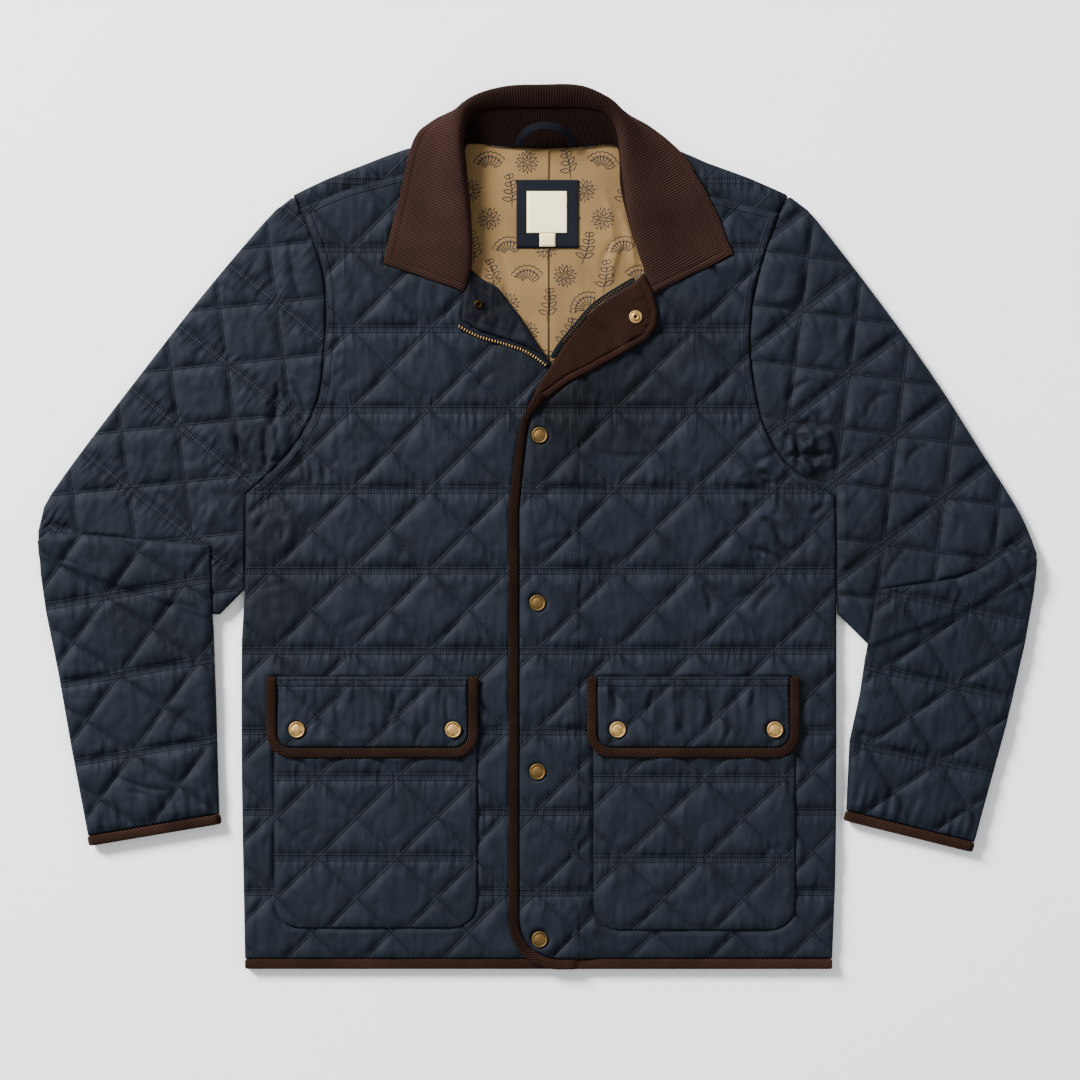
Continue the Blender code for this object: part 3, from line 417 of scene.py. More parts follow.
class Underside:
    """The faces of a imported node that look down, or up, seen as a map of heights."""

    def __init__(self, node, up=False):
        mesh = frame["nodes"][node].data
        faces = [p for p in mesh.polygons if (p.normal.z > SIDE_LEAN if up else p.normal.z < -SIDE_LEAN)]
        spots = [v.co.copy() for v in mesh.vertices]
        self.planes = [(spots[p.vertices[0]], p.normal.copy()) for p in faces]
        flat = [(p.x, p.y, 0) for p in spots]
        self.plan = BVHTree.FromPolygons(flat, [tuple(p.vertices) for p in faces])

    def at(self, x, y, reach=1.0):
        """Height under a place, and how far outside the node it is, or None beyond the reach."""
        spot, _, face, away = self.plan.find_nearest((x, y, 0), reach)
        if spot is None:
            return None
        corner, normal = self.planes[face]
        drop = normal.x * (spot.x - corner.x) + normal.y * (spot.y - corner.y)
        return corner.z - drop / normal.z, away


def heights(points, node, up=False):
    """Height of a node's underside, or of its upper side, at each point."""
    side = Underside(node, up)
    return np.array([side.at(x, y)[0] for x, y in points])


ROOF_REACH = 6 * MM  # beside a node that lies on it, cloth rises one in one over this distance


def roof(points, covers):
    """The highest that cloth may lie at each point, because of the nodes that lie on it."""
    level = np.full(len(points), 1.0)
    for node in covers:
        side = Underside(node)
        low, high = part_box(node)
        low, high = np.array(low)[:2] - ROOF_REACH, np.array(high)[:2] + ROOF_REACH
        inside = np.all((points > low) & (points < high), axis=1)
        for i in np.flatnonzero(inside):
            found = side.at(*points[i], ROOF_REACH)
            if found:
                level[i] = min(level[i], found[0] - GAP * MM + found[1])
    return level


# %% Distances, sides, soft steps and noise
def beside(points, line):
    """Distance of each point from an open line, and how far along it the nearest place lies."""
    line = np.asarray(line, float)
    found, place, passed = np.full(len(points), 1e9), np.zeros(len(points)), 0.0
    for a, b in zip(line[:-1], line[1:]):
        run = b - a
        length = max(np.linalg.norm(run), 1e-9)
        along = np.clip((points - a) @ run / length**2, 0, 1)
        off = np.linalg.norm(points - a - along[:, None] * run, axis=1)
        place = np.where(off < found, passed + along * length, place)
        found = np.minimum(found, off)
        passed += length
    return found, place


def away_from(points, line, closed=True):
    """Distance of each point from a line."""
    return beside(points, np.vstack([line, line[:1]]) if closed else line)[0]


def unit(vectors):
    return vectors / np.linalg.norm(vectors, axis=-1, keepdims=True)


def offset_of(line, distance, closed=False):
    """A line moved sideways, in millimetres, to the left of its direction."""
    line = np.asarray(line, float)
    after = line[:1] if closed else 2 * line[-1:] - line[-2:-1]
    before = line[-1:] if closed else 2 * line[:1] - line[1:2]
    ahead, behind = np.vstack([line[1:], after]) - line, line - np.vstack([before, line[:-1]])
    run = unit(unit(ahead) + unit(behind))
    sharp = np.clip(np.sum(run * unit(ahead), axis=1), 0.6, 1)  # a corner's point moves further
    return line + np.stack([-run[:, 1], run[:, 0]], axis=1) * (distance / sharp)[:, None]


def winding(ring):
    """1 where a ring of points runs anticlockwise, and -1 where it runs clockwise."""
    x, y = ring.T
    return np.sign(np.sum(x * np.roll(y, -1) - np.roll(x, -1) * y))


def eased(value, low, high):
    """0 below low, 1 above high, and a soft step between them."""
    t = np.clip((value - low) / (high - low), 0, 1)
    return t * t * (3 - 2 * t)


def cloud(points, size, seed=0.0):
    """Soft noise from -1 to 1 whose lumps are about this size."""
    return np.array([noise.noise((x / size, y / size, seed)) for x, y in points]) * 1.4


def lumps(u, v, fine, seed):
    """Soft noise over two places, with its own fineness along each."""
    return np.array([noise.noise((a * fine[0], b * fine[1], seed)) for a, b in zip(u, v)])


def dent(off, wide):
    """1 on a line, and soft on both sides of it."""
    return np.exp(-((off / wide) ** 2))


def between_edges(value, low, high, soft):
    """1 between two values, 0 outside them, and a soft step at each."""
    return eased(value, low - soft, low + soft) * (1 - eased(value, high - soft, high + soft))


# %% [markdown]
# ### The quilting formula
# Two lines of stitches run across at each repeat, and single diagonals run through the crossings.
# The padding is held down at each line, rises steeply beside it and is full in the middle. No two
# fields are equally full, so each gets its own share of the height.

# %% Quilting
QUILTS = {
    # panel: x and y of a crossing, turn in degrees, repeat across, repeat along
    "front_right": (-177, 36, 0, 74.4, 76.4),
    "front_left": (74, 36, 0, 75.4, 76.4),
    "pocket_right": (-133, -313, 0, 76, 76.4),
    "pocket_left": (82, -238, 0, 76, 76.4),
    "flap_right": (-171, -217.5, 0, 76, 76.4),
    "flap_left": (134, -216, 0, 76, 76.4),
    "sleeve_right_top": (-295, 156, -38.5, 77, 75),
    "sleeve_left_top": (296, 147, 37.5, 73, 74.5),
    "forearm_right_top": (-397, -139.5, 9.5, 76, 75.5),
    "forearm_left_top": (397, -150, -12, 71.5, 74),
    "back_panel": (5, 330, 0, 76, 76.4),
}
PADDING_REACH = 5.5  # how far from a stitch the padding is still held down
PADDING_FULL, BETWEEN_ROWS = 1.15, 0.35  # most padding in a field, and the share between two rows
PINCH, PINCH_WIDE = 0.55, 1.7  # the sharp groove that the thread itself pulls
SCATTER = (12.9898, 78.233, 37.719, 43758.5453)  # turns a field's place into a number without order


def pattern_of(points, quilt):
    """Places on the cloth, counted in repeats of its quilting."""
    x, y, turn, across, along = quilt
    c, s = math.cos(math.radians(turn)), math.sin(math.radians(turn))
    dx, dy = points[:, 0] / MM - x, points[:, 1] / MM - y
    return (dx * c + dy * s) / across, (dy * c - dx * s) / along


def quilting(points, quilt, seed):
    """How full the padding is at each point, from 0 to about 1, and the depth of the groove."""
    u, v = pattern_of(points, quilt)
    across, along = quilt[3:]
    row = np.abs(v - np.round(v)) * along - ROW_PAIR / 2
    lean = [np.abs(w - np.round(w)) * (across + along) / 2 / math.sqrt(2) for w in (u - v, u + v)]
    full = np.prod([1 - np.exp(-np.abs(gap) / PADDING_REACH) for gap in (row, *lean)], axis=0) * 1.5
    full = np.minimum(full, PADDING_FULL) * np.where(row < 0, BETWEEN_ROWS, 1)
    field = np.floor(u - v) * SCATTER[0] + np.floor(u + v) * SCATTER[1] + np.floor(v) * SCATTER[2] + seed
    share = 0.78 + 0.44 * (np.sin(field) * SCATTER[3] % 1)
    groove = sum(np.exp(-((gap / PINCH_WIDE) ** 2)) for gap in (row, *lean))
    return full * share, np.minimum(groove, 1.2) * PINCH


# %% [markdown]
# ### Creases placed one by one
# Each row of the table is one soft trough or ridge: where it starts and ends, how far it bows to
# the side, how wide it is and how deep. A minus depth is a trough.

# %% Crease table
CREASES = {
    # panel: rows of x, y, x, y, bow, width, depth in millimetres
    "front_right": (
        (-246, 8, -243, -12, 3, 5, -1.4), (-262, 20, -225, 42, 4, 7, -1.3), (-252, 4, -218, 20, -3, 6, 0.9),
        (-240, -30, -214, 6, 3, 7, -0.8), (-130, 60, -110, 96, 5, 8, -0.7), (-90, -30, -66, 12, -4, 8, 0.7),
        (-205, 120, -186, 150, 4, 8, -0.8), (-60, 128, -38, 150, 3, 6, -0.8),
        (-70, 140, -52, 158, -3, 6, 0.8), (-226, 70, -222, 42, 2, 4, -2.2),
        (-217, 65, -215, 42, 1, 4, -2.0), (-205, 62, -202, 44, 1, 4, -1.4),
        (-190, -100, -160, -82, 3, 7, -0.6), (-262, -60, -236, -52, 2, 6, -0.7),
        (-150, 190, -120, 236, 6, 9, 0.7),
    ),
    "front_left": (
        (213, 9, 230, -9, 4, 4, -3.2), (230, -9, 244, -24, -3, 4, -3.4), (202, -20, 232, -32, 3, 4, -2.6),
        (209, 52.5, 222, 48, 1.5, 3.5, -3.0), (216, 44.5, 225, 41, 1, 3.5, -2.4),
        (197, 24, 203, 12, 1, 4, -2.4), (260, 12, 272, 22, 1, 5, -2.6), (56, 74, 104, 69, -3, 5, -1.0),
        (158, -56, 164, -82, 2, 4, -2.0), (206, -79, 228, -55, 3, 7, -1.7), (222, 84, 232, 74, 1, 4, -1.8),
        (188, 44, 202, 56, 2, 5, 1.2), (208, 62, 240, 92, -4, 6, -1.5), (222, 40, 250, 66, 4, 6, 1.2),
        (240, 96, 262, 60, 3, 6, -1.2), (196, 40, 222, 70, -3, 6, 1.0), (150, -60, 158, -20, 3, 8, 0.7),
        (64, -60, 76, -26, 4, 7, -0.7), (0, 24, 22, 40, 3, 6, -0.8), (-2, -20, 24, -8, 3, 7, -0.8),
        (100, 30, 122, 52, 4, 8, 0.6), (180, -80, 204, -62, 4, 8, -0.7), (130, 120, 158, 150, 5, 9, 0.7),
    ),
    "sleeve_right_top": (
        (-235, 270, -223, 213, -3, 6, -1.6), (-247.5, 135, -252.5, 98, 2, 3.5, -3.6),
        (-258, 130, -261, 100, 2, 6, 1.4), (-244, 130, -222, 101, 2, 3.2, -2.2),
        (-233, 139, -221, 110, 2, 3.5, -1.8), (-259, 93, -257, 57, -1, 3.5, -4.0),
        (-251, 92, -250, 62, 1, 5, 1.8), (-285, 86, -259, 51, -4, 4, -3.2),
        (-253, 63, -243, 63, 1.5, 3.5, -3.4), (-296, 60, -272, 44, 2, 5, -1.8),
        (-283, 84, -262, 55, -3, 6, -2.0), (-359, 34, -321, -4, 4, 7, -2.0),
        (-340, 60, -300, 20, 4, 8, 1.0), (-470, 2, -434, -6, 3, 6, -1.8),
        (-300, 230, -262, 196, 4, 8, -0.9), (-345, 120, -322, 92, -3, 8, -0.9),
        (-400, 96, -372, 62, 3, 8, 0.9), (-282, -20, -296, -54, 3, 7, -1.6),
        (-262, 30, -276, 2, 3, 6, -1.4),
    ),
    "sleeve_left_top": (
        (237, 89, 254, 88, -1, 3.5, -3.4), (246, 86, 259, 80, 1, 3.5, -3.4),
        (245, 87, 247, 66, 1, 3.5, -4.0), (237, 66, 248, 70, 1, 3.5, -4.0),
        (247, 69.5, 278, 71, -1, 3.5, -4.2), (252, 71, 264, 53, 2, 4, -4.0), (263, 54, 277, 45, 1, 4, -3.6),
        (244, 65, 249, 57, 1, 3, -3.0), (237, 52, 248, 51, 1, 3.5, -2.4), (250, 47, 274, 41, 2, 3.5, -2.4),
        (240, 82, 241, 71, 1, 4, 2.4), (254, 80, 262, 76, 2, 5, 2.2), (256, 62, 270, 60, -2, 4, 2.2),
        (278, 94, 284, 60, 2, 6, -1.8), (262, 112, 274, 92, 2, 5, -1.6), (312, 108, 334, 128, 5, 8, -1.5),
        (350, 60, 371, 78, 5, 8, -1.5), (240, 90, 262, 110, -3, 6, -2.2), (250, 70, 284, 96, 4, 6, 1.8),
        (236, 120, 258, 140, 3, 6, -1.6), (262, 50, 300, 72, -4, 7, -1.6), (256, 240, 240, 200, 3, 7, -1.3),
        (300, 200, 276, 160, 4, 8, 0.9), (445, -16, 468, -22, 3, 5, -1.8), (410, -32, 424, -38, 2, 5, -1.6),
        (380, 40, 402, 20, 3, 7, 0.9), (330, -50, 350, -20, 3, 7, -1.2),
    ),
    "forearm_right_top": (
        (-312, -18, -306, -262, 5, 6, -2.4), (-468, 2, -440, -4, 3, 6, -1.8),
        (-455, -30, -428, -42, 3, 7, -1.2), (-400, -236, -352, -249, -3, 4, -1.9),
        (-390, -250, -366, -256, 2, 4, -1.3), (-350, -72, -318, -80, 3, 5, -1.4),
        (-420, -90, -396, -70, 3, 8, 0.9), (-350, -200, -330, -170, 3, 8, -0.9),
        (-430, -230, -412, -206, 3, 7, 0.8),
    ),
    "forearm_left_top": (
        (302, -180, 315, -190, 3, 5, -1.6), (304, -196, 322, -202, 2, 5, -1.2),
        (448, -24, 470, -34, 3, 6, -1.8), (412, -36, 428, -54, 3, 6, -1.4), (330, -90, 350, -66, 4, 8, 0.9),
        (400, -200, 424, -176, 3, 8, -0.8),
    ),
    "flap_right": (
        (-219, -154, -222, -171, 1.5, 3.5, -0.9), (-137, -152, -140, -180, 3, 3.5, -1.3),
        (-85, -158, -84, -186, -2, 3.5, -1.0), (-185, -152, -191, -171, 1, 3.5, -0.8),
        (-158, -187, -143, -209, 2, 4, -0.9), (-104, -184, -117, -209, -2, 4, -0.9),
    ),
    "flap_left": (
        (70, -153, 74, -176, 2, 3.5, -1.0), (112, -152, 106, -180, -3, 3.5, -1.3),
        (160, -154, 164, -186, 3, 3.5, -1.0), (205, -153, 199, -172, 2, 3.5, -0.8),
        (134, -186, 146, -209, 2, 4, -0.8), (186, -188, 176, -208, -2, 4, -0.9),
    ),
    "pocket_right": (
        (-236, -300, -210, -282, 3, 7, -0.6), (-110, -350, -92, -330, 3, 6, 0.6),
        (-180, -262, -150, -240, 4, 8, 0.5),
    ),
    "pocket_left": (
        (210, -320, 232, -300, 3, 7, -0.6), (96, -352, 120, -338, 3, 6, 0.6),
        (150, -270, 178, -246, 4, 8, 0.5),
    ),
    "facing_right": (
        (-60, 226, -40, 206, 3, 6, -0.9), (-30, 200, -14, 184, -2, 5, -0.8),
        (-66, 205, -48, 196, 2, 5, 0.7),
    ),
    "facing_left": (
        (60, 190, 78, 168, 3, 6, -0.9), (40, 168, 58, 158, 2, 5, 0.7), (84, 206, 104, 190, 3, 5, -0.6),
    ),
    "lining_back": (
        (-63, 268, -34, 226, 2, 4, 1.5), (-57, 262, -36, 232, 2, 3, -0.9), (81, 272, 70, 234, -3, 5, 1.6),
        (72, 276, 60, 240, -2, 4, -1.0), (-58, 250, -20, 168, 5, 9, 1.6), (64, 320, 70, 240, 4, 8, 1.4),
        (-60, 330, -50, 262, 4, 9, 1.0), (44, 262, 52, 196, 3, 8, -0.8), (80, 300, 92, 250, 2, 6, 1.6),
        (-34, 262, -30, 200, 3, 8, -0.7),
    ),
}


FOLD_MOST, FOLD_SOFT = 3.4, 0.47  # no fold is deeper than the cloth is thick
SHARP_SHARE, SHARP_WIDE = 0.55, 1.3  # a trough has a sharp line in its middle
CRUMPLE = ((19, 0.65), (9.5, 0.35))  # size and share of the small folds


def creases(points, rows):
    """The sum of the soft troughs and ridges of one panel."""
    raised = np.zeros(len(points))
    for x0, y0, x1, y1, bow, width, depth in rows:
        start, run = np.array((x0, y0)) * MM, np.array((x1 - x0, y1 - y0)) * MM
        length = np.linalg.norm(run)
        along = (points - start) @ run / length**2
        side = ((points - start) @ np.array((-run[1], run[0]))) / length
        off = side / MM - bow * (1 - (2 * along - 1) ** 2)
        taper = np.clip(1 - (2 * along - 1) ** 2 / 1.3, 0, 1) ** 0.8
        raised += depth * taper * np.exp(-np.abs(off / width) ** 1.35 * 1.9)
        raised += SHARP_SHARE * min(depth, 0) * taper * np.exp(-np.abs(off) / SHARP_WIDE)
    return FOLD_MOST * np.tanh(FOLD_SOFT * raised)


def crumpled(points, seed):
    """Small irregular folds with sharp valleys, from 0 to about 1, longer down the cloth."""
    total = np.zeros(len(points))
    for size, share in CRUMPLE:
        spots = points / (size * MM)
        total += share * np.abs([noise.noise((x, y / 1.7, seed)) for x, y in spots]) * 2
    return total


# %% Painted shade: broad dark patches in the colour of a panel
SHADES = {
    # panel: rows of x, y, reach across, reach along and how dark, from 0 to 1
    "front_right": (
        (-255, -50, 42, 120, 0.65), (-30, 165, 30, 85, 0.5), (-135, 258, 48, 36, 0.5),
        (-255, 90, 30, 40, 0.4),
    ),
    "front_left": (
        (62, 128, 66, 48, 0.9), (148, 190, 40, 32, 0.7), (14, 84, 36, 48, 0.7), (256, -30, 26, 60, 0.3),
    ),
    "sleeve_left_top": ((260, 74, 24, 30, 0.65), (318, -20, 34, 40, 0.5)),
    "forearm_left_top": ((318, -70, 26, 46, 0.4), (372, -105, 36, 46, 0.15)),
    "sleeve_right_top": ((-262, 88, 22, 42, 0.35), (-370, 60, 60, 44, 0.15), (-300, -30, 30, 50, 0.4)),
    "forearm_right_top": ((-362, -97, 52, 46, 0.45), (-395, -35, 60, 30, 0.2)),
}

# %% Cut one face along many lines
UNDER_LEAN = 0.3  # a face belongs to the underside where its normal falls by at least this


def plan_of(node):
    """A packed panel's underside as one flat face, and its outline."""
    bm = bmesh.new()
    bm.from_mesh(frame["nodes"][node].data)
    bmesh.ops.remove_doubles(bm, verts=bm.verts, dist=0.001 * MM)
    bmesh.ops.delete(bm, geom=[f for f in bm.faces if f.normal.z > -UNDER_LEAN], context="FACES")
    for vert in bm.verts:
        vert.co.z = 0
    bmesh.ops.dissolve_faces(bm, faces=bm.faces, use_verts=False)
    return bm, np.array([tuple(vert.co)[:2] for vert in largest(bm).verts])


def largest(bm):
    return max(bm.faces, key=lambda face: face.calc_area())


def cut_along(bm, angle, places):
    """Cuts the faces by upright planes at these distances from the origin, in metres."""
    across = Vector((math.cos(angle), math.sin(angle), 0))
    for place in places:
        parts = bm.verts[:] + bm.edges[:] + bm.faces[:]
        bmesh.ops.bisect_plane(bm, geom=parts, plane_co=across * place, plane_no=across)


def fine_places(outline, angle, origin, repeat, count, pair=0):
    """Distances of the cuts across an outline, the same in each repeat, with the rows among them."""
    across = np.array((math.cos(angle), math.sin(angle)))
    low, high = (outline @ across).min(), (outline @ across).max()
    steps = np.arange(count) * repeat / count
    if pair:
        steps[1], steps[-1] = pair / 2, repeat - pair / 2
    start = origin @ across
    first, last = math.floor((low - start) / repeat), math.ceil((high - start) / repeat)
    places = np.concatenate([start + k * repeat + steps for k in range(first, last)])
    return places[(places > low + 0.2 * MM) & (places < high - 0.2 * MM)]


# %% Turn a mesh into a piece, and write its maps
def finished(name, bm, finish):
    """A mesh becomes a smooth piece of the jacket."""
    made = bpy.data.objects.new(name, bpy.data.meshes.new(name))
    bm.to_mesh(made.data)
    bm.free()
    made.data.materials.append(finish)
    made.data.shade_smooth()
    bpy.context.scene.collection.objects.link(made)
    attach(made, "root")
    return made


def write_map(piece, name, u, v):
    """Stores a place for each point of the mesh as a UV map."""
    corner = np.empty(len(piece.data.loops), np.int32)
    piece.data.loops.foreach_get("vertex_index", corner)
    layer = piece.data.uv_layers.new(name=name)
    layer.data.foreach_set("uv", np.stack([u[corner], v[corner]], axis=1).astype(np.float32).ravel())


def spots_of(piece):
    """The points of a piece's mesh."""
    found = np.empty(len(piece.data.vertices) * 3, np.float32)
    piece.data.vertices.foreach_get("co", found)
    return found.reshape(-1, 3).astype(float)


def stands_for(piece, node):
    """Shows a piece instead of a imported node."""
    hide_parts(node)
    PIECES[node] = piece
    print(piece.name, len(piece.data.polygons), "faces")
    return piece


PIECES, SHEETS, FLAT_CUTS = {}, {}, {}  # for each node its piece, its flat size and its outline

# %% A panel's mesh: a finely cut upper face, sides, and an underside of few faces
SWELL = 0.15  # each puffed panel is this much larger all round, so that sewn edges meet
CURL = 4.1  # along its border the lowest layer curls off the surface over this width
RIM = (0.7, 0.9)  # two narrow rings along the border, which carry its rounding


def cut_panel(node, quilt, counts, puff, folds, cuts, curl):
    """The mesh, its packed outline, its own outline, and how many points its upper face has."""
    x, y, turn, across, along = quilt
    angle, origin = math.radians(turn), np.array((x, y)) * MM
    bm, outline = plan_of(node)
    ring = outline
    if puff:
        ring = offset_of(outline, -SWELL * MM * winding(outline), True)
        whole = largest(bm)
        for vert, place in zip(whole.verts, ring):
            vert.co.xy = place
        for width in RIM:
            settings = {"thickness": width * MM, "use_even_offset": True, "use_boundary": True}
            bmesh.ops.inset_region(bm, faces=[whole], **settings)
    cut_along(bm, 0, [place * MM for place in cuts])
    square, pair = angle + math.pi / 2, ROW_PAIR * MM if puff else 0
    cut_along(bm, square, fine_places(outline, square, origin, along * MM, counts[1], pair))
    cut_along(bm, angle, fine_places(outline, angle, origin, across * MM, counts[0]))
    upper = set(bm.verts)
    drawn = bmesh.ops.extrude_edge_only(bm, edges=[e for e in bm.edges if e.is_boundary])["geom"]
    rim = [e for e in drawn if isinstance(e, bmesh.types.BMEdge)]
    base = bmesh.ops.edgeloop_fill(bm, edges=rim)["faces"]
    for px, py, degrees in folds:
        lower = list(base)
        parts = lower + list({e for f in lower for e in f.edges}) + list({v for f in lower for v in f.verts})
        side = Vector((math.cos(math.radians(degrees)), math.sin(math.radians(degrees)), 0))
        plane = {"plane_co": Vector((px, py, 0)) * MM, "plane_no": side}
        cut = bmesh.ops.bisect_plane(bm, geom=parts, **plane)["geom"]
        base = [f for f in cut if isinstance(f, bmesh.types.BMFace)]
    if curl:
        bmesh.ops.inset_region(bm, faces=base, thickness=curl * MM, use_even_offset=True, use_boundary=True)
    bm.verts.sort(key=lambda vert: vert not in upper)
    bmesh.ops.recalc_face_normals(bm, faces=bm.faces)
    return bm, outline, ring, len(upper)


# %% A panel's relief
UNDERARMS = ((-268, 45), (264, 42))  # the cloth is crumpled most where an arm joins the body
UNDERARM_REACH = 62
CRUMPLED, CRUMPLED_MORE = 1.7, 2.6  # height of the small folds, and what is added at an underarm
MARGIN = 8  # the padding is full this far from the border
ROLL_REACH = 2.2  # the border rolls down over this width
THIN = 0.4  # the cloth is nowhere thinner
FLAT_RIB = (0.45, 0.14)  # depth and share of a groove between ribs on a panel
DEEPEST = 3.2  # a trough as deep as this gets the most painted shade
UNEVEN = 60  # size of the broad, soft unevenness
EDGE_DARK = 0.8  # a puffed panel's border gets painted shade over this width
RIB_CUTS = 16  # cuts to every four ribs
LEAST_SHARE, LEAST_SIDE = 0.301, 0.0101  # least area of a sheet in its box, least side in metres


def panel(node, finish, wall, puff, count=32, covers=(), relief=None, folds=(), roll=1.4, soft=0.5,
          cap=False, ribs=None, bands=None, cuts=(), warp=None, curl=0):
    """Makes the fine piece that stands for one packed panel."""
    quilt = QUILTS.get(node, (0, 0, 0, REPEAT, REPEAT))
    pattern = (0, 0, ribs[0], ribs[1] * 4, REPEAT) if ribs else quilt
    counts = (RIB_CUTS if ribs else count, count)
    bm, outline, ring, top_count = cut_panel(node, pattern, counts, puff, folds, cuts, curl)
    FLAT_CUTS[node] = outline
    piece = finished(node + "_cloth", bm, finish)
    spots = spots_of(piece)
    points, top = spots[:, :2], spots[:top_count, :2]
    low = heights(points, node)
    inside = away_from(top, ring)
    rise = heights(top, node, up=True) if cap else low[:top_count] + wall * MM
    margin = np.sqrt(np.clip(inside / (MARGIN * MM), 0, 1))
    if puff:
        full, pinch = quilting(top, quilt, len(node))
        rise += (puff * full - pinch * np.clip(full * 4, 0.4, 1)) * margin * MM
    creased = creases(top, CREASES.get(node, ()))
    rise += creased * margin * MM
    rise += soft * cloud(top, UNEVEN * MM, len(node)) * margin * MM
    if puff:
        off = [np.sum((top / MM - np.array(place)) ** 2, axis=1) for place in UNDERARMS]
        pulled = sum(np.exp(-square / UNDERARM_REACH**2) for square in off)
        small = (CRUMPLED + CRUMPLED_MORE * pulled) * (crumpled(top, len(node)) - 0.5)
        rise += small * np.clip(full, 0, 1) * margin * MM
    if relief:
        rise += relief(top) * MM
    angle = math.radians(pattern[2])
    across = points @ np.array((math.cos(angle), math.sin(angle)))
    if ribs:
        phase = across[:top_count] / (ribs[1] * MM)
        rise -= FLAT_RIB[0] * np.exp(-(((phase - np.round(phase)) / FLAT_RIB[1]) ** 2)) * MM
    rise -= roll * (1 - np.clip(inside / (ROLL_REACH * MM), 0, 1)) ** 2 * MM
    rise = np.minimum(rise, roof(top, covers)) if covers else rise
    spots[:top_count, 2] = np.maximum(rise, low[:top_count] + THIN * MM)
    spots[top_count:, 2] = low[top_count:]
    if warp:
        spots[:, :2] = warp(points)
    piece.data.vertices.foreach_set("co", spots.astype(np.float32).ravel())
    piece.data.update()
    none = np.zeros(len(points))
    write_map(piece, "quilt", *pattern_of(points, quilt))
    off, along_band = bands(points) if bands else (none + 99, none)
    write_map(piece, "seam", off / REPEAT, along_band / REPEAT)
    # painted shade: darker in deep troughs, along a puffed panel's border, and in the broad patches of
    # SHADES
    painted_shade = none.copy()
    painted_shade[:top_count] = 0.6 * np.clip(-creased / DEEPEST, 0, 1) ** 2
    painted_shade[:top_count] += 0.7 * dent(inside / MM, EDGE_DARK) if puff else 0
    for sx, sy, wide, long, share in SHADES.get(node, ()):
        x, y = points.T / MM
        painted_shade += share * np.exp(-(((x - sx) / wide) ** 2) - ((y - sy) / long) ** 2)
    write_map(piece, "painted_shade", np.clip(painted_shade, 0, 1), none)
    if ribs:
        write_map(piece, "rib", across / (ribs[1] * MM), none)
    c, s = math.cos(angle), math.sin(angle)
    wide, long = np.ptp(outline @ np.array(((c, -s), (s, c))), axis=0)
    x, y = outline.T
    area = abs(np.sum(x * np.roll(y, -1) - np.roll(x, -1) * y)) / 2
    SHEETS[node] = (float(wide), float(long), float(max(area, LEAST_SHARE * wide * long)))
    return stands_for(piece, node)


# %% [markdown]
# ### Seams
# At the armholes the body's edge is folded under and sewn down twice, so a flat band stands a
# little proud beside the seam. The left front has such a band where its placket ends.


# %% Bands beside seams, as height added to a panel
BAND = (0.5, 6.5)  # distances from a seam between which its band lies
BAND_MIDDLE = 4.0  # and the middle between its two rows of stitches
PLACKET_BAND, PLACKET_TOP = (31.5, 39.5), 142  # x of its two edges, and where it ends
STITCHED_TOP = 150  # its stitches run on to this y
STEP_START, STEP_WIDE = 33.0, 4.0  # x and width of the step where the overlap ends
FRONT_LOW, OVERLAP_LOW = 5.6, 8.8  # height of a front's underside, alone and on the other front
UNDERARM = 40.0  # the armhole seams end at this y
SHOULDER_LOW, NECK_HALF = 296, 80  # a shoulder seam is above this y and outside this x
SEAM_REACH = 2.0  # a panel lies beside another where its outline is nearer than this


def band(points, line, height):
    """A raised band beside a seam, with a groove at both of its edges."""
    off = away_from(points, line, closed=False) / MM
    grooves = dent(off - BAND[1], 1.2) + 0.6 * dent(off - BAND[0], 1.2)
    return height * between_edges(off, *BAND, 0.8) - 0.55 * grooves


def rows_place(value, rows):
    """Offset from the middle of two rows of stitches, as if they were as close as on the quilting."""
    return (value - sum(rows) / 2) * ROW_PAIR / (rows[1] - rows[0])


def stretch(ring, wanted):
    """The wanted points of an outline, in order from the first after a gap."""
    start = next(i for i in range(len(ring)) if wanted[i] and not wanted[i - 1])
    order = [(start + k) % len(ring) for k in range(len(ring))]
    return ring[[i for i in order if wanted[i]]]


def seams_of(side):
    """The stretches of a front's outline at the sleeve, at the armhole and at the shoulder."""
    ring = plan_of(f"front_{side}")[1]
    at_sleeve = away_from(ring, plan_of(f"sleeve_{side}_top")[1]) < SEAM_REACH * MM
    high = (ring[:, 1] > SHOULDER_LOW * MM) & (np.abs(ring[:, 0]) > NECK_HALF * MM)
    sleeve = stretch(ring, at_sleeve)
    return sleeve, sleeve[sleeve[:, 1] > UNDERARM * MM], stretch(ring, high & ~at_sleeve)


SIDES = ("right", "left")
SLEEVE_SEAMS, ARMHOLES, SHOULDERS = (dict(zip(SIDES, lines)) for lines in zip(*map(seams_of, SIDES)))
print("shoulder seams", [len(line) for line in SHOULDERS.values()], "points")


def front_bands(side):
    """Offset from the middle of the nearer sewn band, and the place along it, in millimetres."""
    def bands(points):
        seams = ARMHOLES[side], SHOULDERS[side]
        off = np.minimum(*(away_from(points, seam, closed=False) for seam in seams)) / MM - BAND_MIDDLE
        along = 0 * off  # plain, without puckers along it
        if side == "left":
            x, y = points.T / MM
            across = rows_place(x, PLACKET_BAND)
            nearer = (np.abs(across) < np.abs(off)) & (y < STITCHED_TOP)
            off, along = np.where(nearer, across, off), np.where(nearer, y, along)
        return off, along
    return bands


